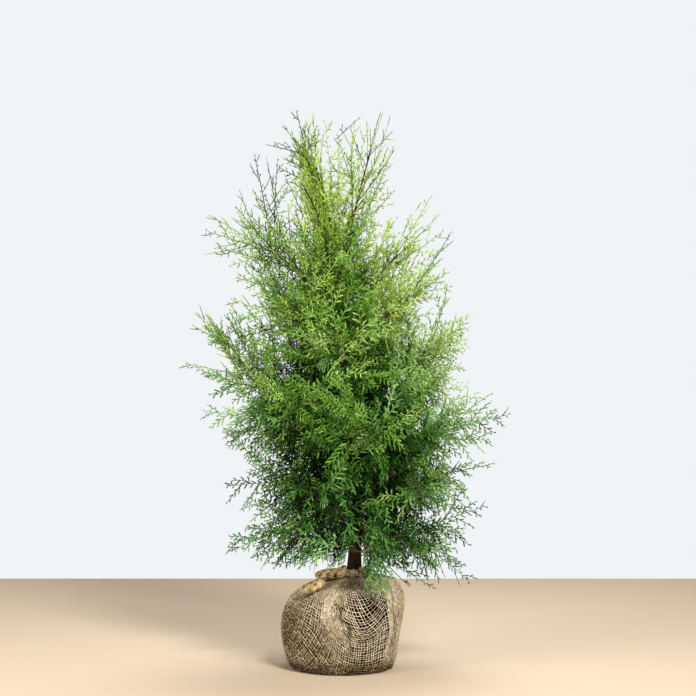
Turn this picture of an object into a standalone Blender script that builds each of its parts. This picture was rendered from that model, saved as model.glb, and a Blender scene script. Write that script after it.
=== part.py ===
"""A root-balled thuja: a conifer on a ball of soil wrapped in hessian.

The stem stands on the ball and runs up through the crown. Tiers of boughs leave it, each bough carries
one mass of foliage, and every mass is a stem with side shoots that end in flat toothed sprays.
Metres, +Z up. The origin is the middle of the ball's flat underside, and the front faces -Y.
"""

import math

import bmesh
import bpy
from mathutils import Vector
from mathutils.bvhtree import BVHTree

GAP = 0.0004  # clearance where two pieces meet

# Root ball: the cloth's outline from the foot to the neck, as radius and height
BALL_OUTLINE = (
    (0.114, 0.000),
    (0.123, 0.007),
    (0.134, 0.030),
    (0.142, 0.068),
    (0.147, 0.110),
    (0.147, 0.145),
    (0.139, 0.174),
    (0.119, 0.197),
    (0.086, 0.211),
    (0.046, 0.220),
)
BALL_SIDES = 32
BALL_LEAN = 0.055  # the right shoulder stands this share higher than the left
BALL_PLEATS = 9
PLEAT_DEPTH = 0.022  # as a share of the radius, on the shoulder

# Main stem
STEM_FOOT = Vector((0.030, 0.0, 0.220))
STEM_TOP = Vector((-0.047, 0.006, 1.165))
STEM_RADIUS = 0.0165
STEM_TIP_RADIUS = 0.0030
FLARE_RADIUS = 0.0055
FLARE_HEIGHT = 0.022
STEM_SIDES = 8
STEM_RINGS = 16

# Cloth gathered round the stem, and its two knotted tails
COLLAR_RADIUS = 0.0365
COLLAR_HALF_HEIGHT = 0.0125
COLLAR_HALF_WIDTH = 0.0120
COLLAR_SIDES = 18
COLLAR_EDGES = 6
COLLAR_GATHERS = 5
TAILS = {
    "cloth_tail_upper": {"middle": (-0.025, -0.043, 0.229), "half": (0.040, 0.021, 0.017), "turn": 4},
    "cloth_tail_lower": {"middle": (-0.068, -0.088, 0.205), "half": (0.034, 0.021, 0.017), "turn": 22},
}

# Crown: how far the tips stand from the axis, to the right and to the left, at some heights
CROWN_AXIS_X = 0.008
CROWN_HEIGHTS = (0.20, 0.35, 0.60, 0.78, 0.95, 1.10, 1.22, 1.35)
REACH_RIGHT = (0.33, 0.36, 0.42, 0.30, 0.30, 0.28, 0.17, 0.11)
REACH_LEFT = (0.24, 0.28, 0.33, 0.31, 0.38, 0.38, 0.24, 0.14)
SIDES = ("right", "back_right", "back", "back_left", "left", "front_left", "front", "front_right")

# Tiers of limbs from the bottom: tip height, height on the stem, first azimuth, number, launch angle,
# and the shoots on each limb
TIERS = (
    {"tip": 0.280, "foot": 0.325, "first": 8, "limbs": 4, "launch": 12, "shoots": 5},
    {"tip": 0.420, "foot": 0.375, "first": 36, "limbs": 5, "launch": 30, "shoots": 5},
    {"tip": 0.590, "foot": 0.450, "first": 0, "limbs": 5, "launch": 42, "shoots": 6},
    {"tip": 0.745, "foot": 0.555, "first": 2, "limbs": 4, "launch": 44, "shoots": 6},
    {"tip": 0.880, "foot": 0.670, "first": 46, "limbs": 4, "launch": 56, "shoots": 5},
    {"tip": 1.035, "foot": 0.800, "first": -15, "limbs": 4, "launch": 62, "shoots": 5},
    {"tip": 1.135, "foot": 0.965, "first": 62, "limbs": 2, "launch": 64, "shoots": 5},
)
BARE_TIERS = 5  # limbs of the tiers above this are masses on the stem, with no bough
SPRAY_REACH = 0.125  # the last spray stands this far past the limb's own tip
LONG_ARM = {"tier": 3, "limb": 2, "reach": 0.105, "launch": 30, "tip": 0.690}  # reach is what it adds
FOOT_STEP = 0.016  # each limb of a tier leaves the stem this much above the one before

# The second leader beside the stem's own top, and the stem's own leading shoot
LEADERS = {
    "second_leader": {
        "foot": 0.862, "knee": (0.006, -0.012, 1.020), "tip": (0.073, -0.010, 1.256), "bare": 0.52,
    },
    "leading_shoot": {
        "foot": 1.155, "knee": (-0.060, 0.004, 1.205), "tip": (-0.097, 0.0, 1.239), "bare": 0.0,
    },
}

BOUGH_SIDES = 5
BOUGH_RINGS = 3
BOUGH_RADIUS = 0.0052
BOUGH_TIP_RADIUS = 0.0031
BARE_SHARE = 0.33  # share of a limb that is a bare bough

# Foliage masses
MASS_SIDES = 3
MASS_RINGS = 4
MASS_TIP_RADIUS = 0.0013
LEADER_SHOOTS = 5
GOLDEN_TURN = math.radians(137.5)
OPEN_FOOT = math.radians(58)  # angle between stem and shoot, at the foot and at the tip
OPEN_TIP = math.radians(32)
SHOOT_FOOT = 0.235  # length of a shoot with its spray, at the foot and at the tip
SHOOT_TIP = 0.150
STEM_CLEAR = 0.10  # share of a mass set on the stem that has no shoots

# Flat sprays: stations along the rib, and how far the teeth stand out, as shares of the length
SPRAY_STATIONS = (0.0, 0.24, 0.48, 0.69, 0.86)
TOOTH_SPREAD = (0.245, 0.285, 0.195)
TOOTH_SWEEP = 0.095
RIB_FOOT = 0.0021
RIB_TIP = 0.0011
SPRAY_THICKNESS = 0.0019
SPRAY_SAG = 0.10

SPACE_SHARED = 0.030  # a mass may reach this far past the halfway surface to its neighbour
CLEARANCE = 0.0006
SHORTER = (1.0, 0.82, 0.66)  # lengths that a shoot tries before it is skipped
ROLLS = (0.0, 0.7, -0.7)  # turns of its plane that it tries

FOLIAGE_TURNS_LIGHT = 0.80  # height above which the foliage is the lighter green
COLOURS = {
    "hessian": ((0.36, 0.29, 0.19), 0.95),
    "bark": ((0.17, 0.10, 0.06), 0.90),
    "foliage_low": ((0.06, 0.17, 0.05), 0.62),
    "foliage_high": ((0.20, 0.36, 0.05), 0.58),
}


def chance(limb, item, slot):
    """A fixed number from 0 to 1 for each limb, item and slot."""
    return math.sin(limb * 12.9898 + item * 78.233 + slot * 37.719) * 43758.5453 % 1.0


def between(x, xs, ys):
    """Straight-line interpolation in a short table."""
    for x0, x1, y0, y1 in zip(xs, xs[1:], ys, ys[1:]):
        if x <= x1:
            return y0 + (y1 - y0) * max(0.0, x - x0) / (x1 - x0)
    return ys[-1]


def material(name):
    """The Principled material of one finish."""
    found = bpy.data.materials.get(name)
    if found:
        return found
    colour, roughness = COLOURS[name]
    made = bpy.data.materials.new(name)
    made.use_nodes = True
    shader = made.node_tree.nodes["Principled BSDF"]
    shader.inputs["Base Color"].default_value = (*colour, 1.0)
    shader.inputs["Roughness"].default_value = roughness
    shader.inputs["Metallic"].default_value = 0.0
    return made


def add_object(name, points, faces, finish):
    """One object from points and faces, with its normals pointing out."""
    mesh = bpy.data.meshes.new(name)
    mesh.from_pydata([tuple(p) for p in points], [], faces)
    made = bmesh.new()
    made.from_mesh(mesh)
    bmesh.ops.recalc_face_normals(made, faces=made.faces)
    bmesh.ops.triangulate(made, faces=made.faces)
    made.to_mesh(mesh)
    made.free()
    mesh.materials.append(material(finish))
    obj = bpy.data.objects.new(name, mesh)
    bpy.context.scene.collection.objects.link(obj)
    return obj


def smooth(obj):
    obj.data.shade_smooth()
    obj.data.set_sharp_from_angle(angle=math.radians(50))


def apply_modifiers(obj):
    """Replaces the object's mesh by its evaluated one."""
    graph = bpy.context.evaluated_depsgraph_get()
    evaluated = bpy.data.meshes.new_from_object(obj.evaluated_get(graph))
    obj.modifiers.clear()
    obj.data = evaluated


def cut(obj, cutter):
    """Subtracts the cutter, which stays hidden, and applies the cut."""
    boolean = obj.modifiers.new("cut", "BOOLEAN")
    boolean.operation = "DIFFERENCE"
    boolean.solver = "EXACT"
    boolean.object = cutter
    apply_modifiers(obj)


def hide(obj):
    obj.hide_render = True
    obj.display_type = "WIRE"
    return obj


def turned(vector, axis, angle):
    """The vector turned about an axis."""
    return (
        vector * math.cos(angle)
        + axis.cross(vector) * math.sin(angle)
        + axis * axis.dot(vector) * (1 - math.cos(angle))
    )


def sweep(points, ways, radii, sides):
    """Points and faces of a closed tube along a line of points. Each ring stands square to its way."""
    side = ways[0].orthogonal().normalized()
    outlines = []
    for middle, way, radius in zip(points, ways, radii):
        side = (side - way * side.dot(way)).normalized()
        other = way.cross(side)
        angles = [2 * math.pi * k / sides for k in range(sides)]
        outlines.append([middle + (side * math.cos(a) + other * math.sin(a)) * radius for a in angles])
    return rings(outlines)


def rings(outlines):
    """Points and faces of a closed body from rings of points, bottom to top."""
    sides = len(outlines[0])
    points = [p for ring in outlines for p in ring]
    faces = [tuple(range(sides))[::-1]]
    for i in range(len(outlines) - 1):
        for k in range(sides):
            a, b = i * sides + k, i * sides + (k + 1) % sides
            faces.append((a, b, b + sides, a + sides))
    last = (len(outlines) - 1) * sides
    faces.append(tuple(range(last, last + sides)))
    return points, faces


# Root ball, stem and cloth


def ball_ring(radius, height, grow=0.0):
    """One ring of the ball: pleated on the shoulder, and leaning up to the right."""
    share = height / STEM_FOOT.z
    middle_x = STEM_FOOT.x * share**3
    pleat = PLEAT_DEPTH * share**2 * (1 - share**12)
    lean = BALL_LEAN * share * (1 - share**16)
    ring = []
    for k in range(BALL_SIDES):
        angle = 2 * math.pi * k / BALL_SIDES
        reach = (radius + grow) * (1 + pleat * math.cos(BALL_PLEATS * angle + 1.0))
        rise = height * (1 + lean * math.cos(angle))
        ring.append(Vector((middle_x + reach * math.cos(angle), reach * math.sin(angle), rise + grow)))
    return ring


def ball_solid(grow=0.0):
    return rings([ball_ring(radius, height, grow) for radius, height in BALL_OUTLINE])


def stem_axis(height):
    """The stem's middle at a height: it leans to the left as it rises, with a slight wave."""
    share = (height - STEM_FOOT.z) / (STEM_TOP.z - STEM_FOOT.z)
    x = STEM_FOOT.x + (STEM_TOP.x - STEM_FOOT.x) * share**1.5 + 0.006 * math.sin(3 * math.pi * share)
    y = STEM_TOP.y * share + 0.007 * math.sin(2 * math.pi * share)
    return Vector((x, y, height))


def stem_radius(height):
    """The stem tapers to its top and flares at its foot."""
    share = (height - STEM_FOOT.z) / (STEM_TOP.z - STEM_FOOT.z)
    taper = STEM_RADIUS + (STEM_TIP_RADIUS - STEM_RADIUS) * share**0.85
    return taper + FLARE_RADIUS * math.exp(-(height - STEM_FOOT.z) / FLARE_HEIGHT)


def stem_solid(grow=0.0):
    """The stem from its flat cut to its top. Its rings are level, and closer together at the flare."""
    outlines = []
    for i in range(STEM_RINGS + 1):
        share = (i / STEM_RINGS) ** 1.25
        height = STEM_FOOT.z + GAP + (STEM_TOP.z - STEM_FOOT.z - GAP) * share
        middle = stem_axis(height) + Vector((0, 0, grow if i == STEM_RINGS else 0.0))
        radius = stem_radius(height) + grow
        angles = [2 * math.pi * (k + 0.5) / STEM_SIDES for k in range(STEM_SIDES)]
        outlines.append([middle + Vector((math.cos(a), math.sin(a), 0)) * radius for a in angles])
    return rings(outlines)


def make_collar():
    """A thick ring of gathered cloth round the stem's foot."""
    middle = STEM_FOOT + Vector((0, 0, COLLAR_HALF_HEIGHT + GAP))
    points = []
    for i in range(COLLAR_SIDES):
        turn = 2 * math.pi * i / COLLAR_SIDES
        out = Vector((math.cos(turn), math.sin(turn), 0))
        swell = 1 + 0.10 * math.cos(COLLAR_GATHERS * turn)
        for k in range(COLLAR_EDGES):
            angle = 2 * math.pi * (k + 0.5) / COLLAR_EDGES
            width = COLLAR_HALF_WIDTH * (swell if math.cos(angle) > 0 else 1.0)
            reach = COLLAR_RADIUS + width * math.cos(angle)
            points.append(middle + out * reach + Vector((0, 0, COLLAR_HALF_HEIGHT * math.sin(angle))))
    faces = []
    for i in range(COLLAR_SIDES):
        a, b = i * COLLAR_EDGES, (i + 1) % COLLAR_SIDES * COLLAR_EDGES
        for k in range(COLLAR_EDGES):
            n = (k + 1) % COLLAR_EDGES
            faces.append((a + k, b + k, b + n, a + n))
    return add_object("cloth_collar", points, faces, "hessian")


def make_tail(name, middle, half, turn):
    """A crumpled knot of cloth: a ball of facets, drawn out and dented by a low wave. Its right end is up."""
    made = bmesh.new()
    bmesh.ops.create_icosphere(made, subdivisions=2, radius=1.0)
    level = Vector((0, -1, 0))
    points = []
    for corner in made.verts:
        p = corner.co
        dent = 1 + 0.10 * math.sin(4.2 * p.x + 1.3 * p.z) * math.cos(3.6 * p.y) + 0.05 * math.cos(9 * p.x)
        shaped = Vector((p.x * half[0], p.y * half[1], p.z * half[2])) * dent
        points.append(Vector(middle) + turned(shaped, level, math.radians(turn)))
    faces = [tuple(v.index for v in face.verts) for face in made.faces]
    made.free()
    return add_object(name, points, faces, "hessian")


def grown(obj, amount):
    """A hidden copy of an object, grown along its normals, that cuts what would touch it."""
    copy = hide(obj.copy())
    copy.data = obj.data.copy()
    bpy.context.scene.collection.objects.link(copy)
    for corner, normal in zip(copy.data.vertices, [v.normal.copy() for v in obj.data.vertices]):
        corner.co += normal * amount
    return copy


def make_foot(stem_cutter):
    """The ball, the collar and the tails, each clear of the stem and of one another."""
    ball = add_object("root_ball", *ball_solid(), "hessian")
    collar = make_collar()
    cutters = [hide(add_object("ball_cutter", *ball_solid(grow=GAP), "hessian")), stem_cutter]
    cutters.append(grown(collar, 1.5 * GAP))
    pieces = [ball, collar]
    for name, shape in TAILS.items():
        tail = make_tail(name, **shape)
        for cutter in cutters:
            cut(tail, cutter)
        cutters.append(grown(tail, 1.5 * GAP))
        pieces.append(tail)
    for piece in pieces:
        smooth(piece)
    return pieces


# Limbs


def reach_at(height, azimuth):
    """How far the crown's tips stand from its axis at a height, in one direction."""
    right = between(height, CROWN_HEIGHTS, REACH_RIGHT)
    left = between(height, CROWN_HEIGHTS, REACH_LEFT)
    share = (1 + math.cos(azimuth)) / 2
    return left + (right - left) * share


def curve(foot, knee, tip, share):
    """A point of the limb's arc, and the way that it runs there."""
    point = foot * (1 - share) ** 2 + knee * 2 * share * (1 - share) + tip * share**2
    way = (knee - foot) * (1 - share) + (tip - knee) * share
    return point, way.normalized()


def limb_of(name, foot, knee, tip, bare, shoots):
    """A limb: an arc from its foot on the stem, the share of it that is bare, and its number of shoots."""
    return {"name": name, "arc": (foot, Vector(knee), Vector(tip)), "bare": bare, "shoots": shoots}


def plan_limbs():
    """The limbs of every tier, then the second leader and the leading shoot."""
    limbs = []
    for tier, plan in enumerate(TIERS):
        for k in range(plan["limbs"]):
            number = len(limbs)
            stray = 16 * (chance(number, 0, 1) - 0.5)
            azimuth = math.radians(plan["first"] + 360 * k / plan["limbs"] + stray)
            tip_height = plan["tip"] + 0.05 * (chance(number, 0, 2) - 0.5)
            launch = plan["launch"]
            reach = reach_at(tip_height, azimuth) * (0.93 + 0.10 * chance(number, 0, 3)) - SPRAY_REACH
            if (tier, k) == (LONG_ARM["tier"], LONG_ARM["limb"]):
                reach += LONG_ARM["reach"]
                launch = LONG_ARM["launch"]
                tip_height = LONG_ARM["tip"]
            out = Vector((math.cos(azimuth), math.sin(azimuth), 0))
            start = out * math.cos(math.radians(launch)) + Vector((0, 0, math.sin(math.radians(launch))))
            foot = stem_axis(plan["foot"] + FOOT_STEP * k)
            tip = Vector((CROWN_AXIS_X, 0, tip_height)) + out * reach
            knee = foot + start * (tip - foot).length / 2
            bare = BARE_SHARE if tier < BARE_TIERS else 0.0
            side = SIDES[round(math.degrees(azimuth) / 45) % 8]
            limbs.append(limb_of(f"{tier + 1}_{side}", foot, knee, tip, bare, plan["shoots"]))
    for name, plan in LEADERS.items():
        foot = stem_axis(plan["foot"])
        limbs.append(limb_of(name, foot, plan["knee"], plan["tip"], plan["bare"], LEADER_SHOOTS))
    return limbs


def bough_radius(limb, share):
    """A bough tapers evenly, and a longer one is thicker."""
    foot, _, tip = limb["arc"]
    girth = 0.75 + 0.9 * (tip - foot).length
    return girth * (BOUGH_RADIUS + (BOUGH_TIP_RADIUS - BOUGH_RADIUS) * share / limb["bare"])


def arc_tube(limb, first, last, radii, sides, start_gap=0.0):
    """A tube along part of the limb's arc, with one ring for each radius."""
    count = len(radii) - 1
    places = [curve(*limb["arc"], first + (last - first) * i / count) for i in range(count + 1)]
    points = [point for point, _ in places]
    ways = [way for _, way in places]
    points[0] = points[0] + ways[0] * start_gap
    return sweep(points, ways, radii, sides)


def make_bough(limb, stem_cutter):
    radii = [bough_radius(limb, limb["bare"] * i / BOUGH_RINGS) for i in range(BOUGH_RINGS + 1)]
    tube = arc_tube(limb, 0.0, limb["bare"], radii, BOUGH_SIDES)
    bough = add_object(f"bough_{limb['name']}", *tube, "bark")
    cut(bough, stem_cutter)
    smooth(bough)
    return bough


# Foliage


def spray_solid(root, way, face, length, sag, grow=0.0):
    """A flat toothed spray: a bare foot, then a rib with a forward tooth on each side of every stretch.

    It bends towards sag as the square of the distance along it. Each tooth is one triangle.
    """
    side = face.cross(way).normalized()
    thick = max(SPRAY_THICKNESS, length / 90) / 2 + grow

    def at(share, out):
        return root + way * length * share + side * out + sag * length * share**2

    flat = []
    for share in SPRAY_STATIONS:
        half = RIB_FOOT + (RIB_TIP - RIB_FOOT) * share + grow
        flat += [at(share, half), at(share, -half)]
    faces = [(0, 1, 3), (0, 3, 2)]
    outline_left, outline_right = [0, 2], [1, 3]
    for i, spread in enumerate(TOOTH_SPREAD):
        a, b, c, d = 2 * i + 2, 2 * i + 3, 2 * i + 4, 2 * i + 5
        tip = SPRAY_STATIONS[i + 2] + TOOTH_SWEEP
        reach = spread * length + grow
        left, right = len(flat), len(flat) + 1
        flat += [at(tip, reach), at(tip - 0.04, -reach)]
        faces += [(a, b, d), (a, d, c), (a, c, left), (b, right, d)]
        outline_left += [left, c]
        outline_right += [right, d]
    end = len(flat)
    flat.append(at(1.0 + grow / length, 0.0))
    faces.append((outline_left[-1], outline_right[-1], end))
    outline = outline_left + [end] + outline_right[::-1]
    count = len(flat)
    points = [p + face * thick for p in flat] + [p - face * thick for p in flat]
    solid = list(faces) + [tuple(i + count for i in reversed(f)) for f in faces]
    for a, b in zip(outline, outline[1:] + outline[:1]):
        solid.append((a, b, b + count, a + count))
    return points, solid


def shoots_of(limb):
    """The side shoots of a mass: root, way, length and the way of the stem, from the foot to the tip."""
    number = limb["number"]
    first = 0.0 if limb["bare"] else STEM_CLEAR
    shoots = []
    for j in range(limb["shoots"]):
        local = first + (1 - first) * (j + 0.2 + 0.4 * chance(number, j, 4)) / (limb["shoots"] + 0.4)
        root, along = curve(*limb["arc"], limb["bare"] + (1 - limb["bare"]) * local)
        start = along.orthogonal().normalized()
        out = turned(start, along, GOLDEN_TURN * j + 2 * math.pi * chance(number, 0, 5))
        opening = OPEN_FOOT + (OPEN_TIP - OPEN_FOOT) * local
        lift = Vector((0, 0, limb["rise"] * 0.4))
        way = (along * math.cos(opening) + out * math.sin(opening) + lift).normalized()
        length = (SHOOT_FOOT + (SHOOT_TIP - SHOOT_FOOT) * local) * (0.88 + 0.24 * chance(number, j, 6))
        shoots.append({"root": root, "way": way, "along": along, "length": length * limb["size"]})
    return shoots


def distance_to(line, point):
    """The distance from a point to a line of points."""
    nearest = 1e9
    for a, b in zip(line, line[1:]):
        step = b - a
        share = max(0.0, min(1.0, (point - a).dot(step) / step.length_squared))
        nearest = min(nearest, (a + step * share - point).length)
    return nearest


def keeps_to_space(points, limb, limbs):
    """Whether all the points lie in the limb's own space, or only a little past halfway to another's."""
    for point in points:
        own = distance_to(limb["line"], point)
        for other in limbs:
            if other is not limb and distance_to(other["line"], point) < own - SPACE_SHARED:
                return False
    return True


def tree_of(points, faces):
    return BVHTree.FromPolygons([tuple(p) for p in points], faces)


def clear_of(points, faces, placed):
    """Whether a solid crosses none of the solids placed before."""
    solid = tree_of(points, faces)
    return not any(other.overlap(solid) for other in placed)


def fit_spray(shoot, limb, limbs, placed):
    """The first length and turn with which the spray keeps to its space and touches nothing."""
    way = shoot["way"]
    face = way.cross(shoot["along"])
    face = face.normalized() if face.length > 0.05 else way.orthogonal().normalized()
    sag = Vector((0, 0, limb["rise"] * SPRAY_SAG))
    for shorter in SHORTER:
        for roll in ROLLS:
            plane = turned(face, way, roll + 0.5 * (limb["twist"] - 0.5))
            length = shoot["length"] * shorter
            points, faces = spray_solid(shoot["root"], way, plane, length, sag, grow=CLEARANCE)
            teeth = points[2 * len(SPRAY_STATIONS):len(points) // 2]
            if clear_of(points, faces, placed) and keeps_to_space(teeth, limb, limbs):
                return spray_solid(shoot["root"], way, plane, length, sag)
    return None


def grow_mass(limb, limbs, placed):
    """The stem and sprays of one mass, as points and faces that overlap only where they join."""
    taper = MASS_TIP_RADIUS - limb["girth"]
    radii = [limb["girth"] + taper * i / MASS_RINGS for i in range(MASS_RINGS + 1)]
    pieces = [arc_tube(limb, limb["bare"], 1.0, radii, MASS_SIDES, GAP if limb["bare"] else 0.0)]
    root, _ = curve(*limb["arc"], 0.94)
    end = curve(*limb["arc"], 1.0)[1]
    across = turned(end.orthogonal().normalized(), end, 2 * math.pi * limb["twist"])
    last = {"root": root, "way": end, "along": across, "length": SPRAY_REACH * 1.15 * limb["size"]}
    own = []
    for shoot in [last, *reversed(shoots_of(limb))]:
        spray = fit_spray(shoot, limb, limbs, placed + own)
        if spray is not None:
            pieces.append(spray)
            own.append(tree_of(*spray))
    return pieces


def join_mass(name, pieces, finish):
    """One Boolean union joins the mass's pieces, which are then removed."""
    stem = add_object(name, *pieces[0], finish)
    group = bpy.data.collections.new(name + "_pieces")
    bpy.context.scene.collection.children.link(group)
    others = []
    for points, faces in pieces[1:]:
        piece = add_object("piece", points, faces, finish)
        bpy.context.scene.collection.objects.unlink(piece)
        group.objects.link(piece)
        others.append(piece)
    union = stem.modifiers.new("join", "BOOLEAN")
    union.operation = "UNION"
    union.solver = "MANIFOLD"
    union.operand_type = "COLLECTION"
    union.collection = group
    apply_modifiers(stem)
    for piece in others:
        bpy.data.objects.remove(piece)
    bpy.data.collections.remove(group)
    return stem


def tree_of_object(obj):
    return tree_of([v.co for v in obj.data.vertices], [tuple(p.vertices) for p in obj.data.polygons])


def describe_limbs(limbs):
    """Adds to each limb its line, girth, size, rise and twist, which the foliage follows."""
    for number, limb in enumerate(limbs):
        limb["number"] = number
        limb["line"] = [curve(*limb["arc"], i / 8)[0] for i in range(9)]
        limb["girth"] = bough_radius(limb, limb["bare"]) * 0.9 if limb["bare"] else 0.0024
        limb["size"] = between(limb["arc"][2].z, (0.28, 0.6, 1.0, 1.27), (1.0, 1.05, 0.92, 0.72))
        limb["rise"] = between(limb["arc"][2].z, (0.28, 0.42, 0.75, 1.2), (-0.9, -0.2, 0.5, 1.0))
        limb["twist"] = chance(number, 0, 7)
    return limbs


def main():
    for obj in list(bpy.data.objects):
        bpy.data.objects.remove(obj)
    stem = add_object("stem", *stem_solid(), "bark")
    smooth(stem)
    stem_cutter = hide(add_object("stem_cutter", *stem_solid(grow=GAP), "bark"))
    placed = [tree_of_object(piece) for piece in [stem, *make_foot(stem_cutter)]]
    limbs = describe_limbs(plan_limbs())
    for limb in limbs:
        if limb["bare"]:
            placed.append(tree_of_object(make_bough(limb, stem_cutter)))
    for limb in limbs:
        finish = "foliage_high" if limb["arc"][2].z > FOLIAGE_TURNS_LIGHT else "foliage_low"
        mass = join_mass(f"foliage_{limb['name']}", grow_mass(limb, limbs, placed), finish)
        if not limb["bare"]:
            cut(mass, stem_cutter)
        placed.append(tree_of_object(mass))
    for obj in list(bpy.data.objects):
        if obj.hide_render:
            bpy.data.objects.remove(obj)


main()
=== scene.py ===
import math

import bpy
import numpy as np
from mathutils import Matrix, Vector


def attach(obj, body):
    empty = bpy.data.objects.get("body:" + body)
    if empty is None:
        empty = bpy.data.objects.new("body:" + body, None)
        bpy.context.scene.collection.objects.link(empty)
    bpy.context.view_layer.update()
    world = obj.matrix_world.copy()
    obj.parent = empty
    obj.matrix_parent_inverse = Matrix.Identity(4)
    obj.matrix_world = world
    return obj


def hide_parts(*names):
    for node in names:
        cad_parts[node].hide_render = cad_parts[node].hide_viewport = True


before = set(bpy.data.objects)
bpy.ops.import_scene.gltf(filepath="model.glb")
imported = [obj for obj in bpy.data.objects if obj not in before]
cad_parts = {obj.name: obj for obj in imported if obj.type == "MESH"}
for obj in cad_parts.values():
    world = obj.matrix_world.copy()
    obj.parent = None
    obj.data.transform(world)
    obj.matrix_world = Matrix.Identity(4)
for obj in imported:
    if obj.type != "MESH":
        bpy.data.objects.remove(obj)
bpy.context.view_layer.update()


# Shared tools


def linear(hexColour):
    # sRGB hex to linear, by the sRGB curve on each channel
    parts = [int(hexColour[i:i + 2], 16) / 255 for i in (1, 3, 5)]
    return [c / 12.92 if c <= 0.04045 else ((c + 0.055) / 1.055) ** 2.4 for c in parts] + [1.0]


def addNode(tree, kind, values=None, links=None):
    # adds one node, sets its properties and sockets, and links its inputs
    node = tree.nodes.new("ShaderNode" + kind)
    for name, value in (values or {}).items():
        if isinstance(name, int) or name in node.inputs:
            node.inputs[name].default_value = value
        else:
            setattr(node, name, value)
    for name, output in (links or {}).items():
        tree.links.new(output, node.inputs[name])
    return node


def newMaterial(name, values):
    # a Principled material with these values on its sockets; returns it with its tree and shader
    material = bpy.data.materials.new(name)
    material.use_nodes = True
    tree = material.node_tree
    shader = tree.nodes["Principled BSDF"]
    for socket, value in values.items():
        shader.inputs[socket].default_value = value
    return material, tree, shader


def addRamp(tree, factor, *stops):
    # a colour ramp over the factor, through stops of position and hex colour
    ramp = addNode(tree, "ValToRGB", links={"Fac": factor})
    elements = ramp.color_ramp.elements
    for element, (position, colour) in zip(list(elements), (stops[0], stops[-1])):
        element.position, element.color = position, linear(colour)
    for position, colour in stops[1:-1]:
        elements.new(position).color = linear(colour)
    return ramp.outputs["Color"]


def shadedColour(tree, grain, gain, offset, *stops):
    # the point attribute "shade" plus the grain times a gain and an offset, through a colour ramp
    shade = addNode(tree, "Attribute", {"attribute_name": "shade"})
    level = addNode(tree, "Math", {"operation": "MULTIPLY_ADD", 1: gain, 2: offset}, {0: grain})
    summed = addNode(tree, "Math", {"operation": "ADD"}, {0: level.outputs[0], 1: shade.outputs["Fac"]})
    return addRamp(tree, summed.outputs[0], *stops)


def mount(piece, slot, *nodes):
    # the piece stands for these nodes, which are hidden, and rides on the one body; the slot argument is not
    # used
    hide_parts(*nodes)
    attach(piece, "root")


def unit(vectors):
    return vectors / np.maximum(np.linalg.norm(vectors, axis=-1, keepdims=True), 1e-9)


def wrapped(angle):
    # the same angle between -pi and pi
    return (angle + np.pi) % (2 * np.pi) - np.pi


def circle(count, shift=0.0):
    # angles of this many points round a circle, shifted by a share of a step
    return 2 * np.pi * (np.arange(count) + shift) / count


def addPiece(name, points, triangles, materials, slots=None, smooth=True):
    # a mesh from whole arrays: points (n, 3), triangles (m, 3), and the material slot of each triangle
    points = np.ascontiguousarray(points, dtype=np.float32).reshape(-1, 3)
    triangles = np.ascontiguousarray(triangles, dtype=np.int32).reshape(-1, 3)
    mesh = bpy.data.meshes.new(name)
    mesh.vertices.add(len(points))
    mesh.vertices.foreach_set("co", points.ravel())
    mesh.loops.add(triangles.size)
    mesh.loops.foreach_set("vertex_index", triangles.ravel())
    mesh.polygons.add(len(triangles))
    mesh.polygons.foreach_set("loop_start", np.arange(0, triangles.size, 3, dtype=np.int32))
    if slots is not None:
        mesh.polygons.foreach_set("material_index", np.ascontiguousarray(slots, dtype=np.int32))
    for material in materials:
        mesh.materials.append(material)
    mesh.update(calc_edges=True)
    mesh.validate()
    if smooth:
        mesh.shade_smooth()
    piece = bpy.data.objects.new(name, mesh)
    bpy.context.scene.collection.objects.link(piece)
    return piece


def addShade(piece, values):
    # painted shade and highlight: how light each point of the cloth is, from the bottom of its creases to its
    # ridges
    layer = piece.data.attributes.new("shade", "FLOAT", "POINT")
    layer.data.foreach_set("value", np.clip(values, 0, 1).ravel().astype(np.float32))
    return piece


def gridTriangles(rows, columns):
    # triangles of a grid of points, row by row, with the last column joined to the first
    i, k = np.meshgrid(np.arange(rows - 1), np.arange(columns), indexing="ij")
    a, b = i * columns + k, i * columns + (k + 1) % columns
    quads = np.stack([a, b, b + columns, a + columns], axis=-1).reshape(-1, 4)
    return np.concatenate([quads[:, [0, 1, 2]], quads[:, [0, 2, 3]]])


def fan(first, count, apex, flip=False):
    # triangles from a ring of points, counted from the first, to one point
    k = np.arange(count)
    a, b = first + k, first + (k + 1) % count
    return np.stack([b, a, np.full(count, apex)] if flip else [a, b, np.full(count, apex)], axis=-1)


def spindleTriangles(rings, sides):
    # triangles of a closed spindle: a point, rings of the given sides, and a point
    last = 1 + (rings - 1) * sides
    foot = np.roll(fan(1, sides, 0, flip=True), 1, axis=1)
    return np.concatenate([foot, gridTriangles(rings, sides) + 1, fan(last, sides, last + sides)])


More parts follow.
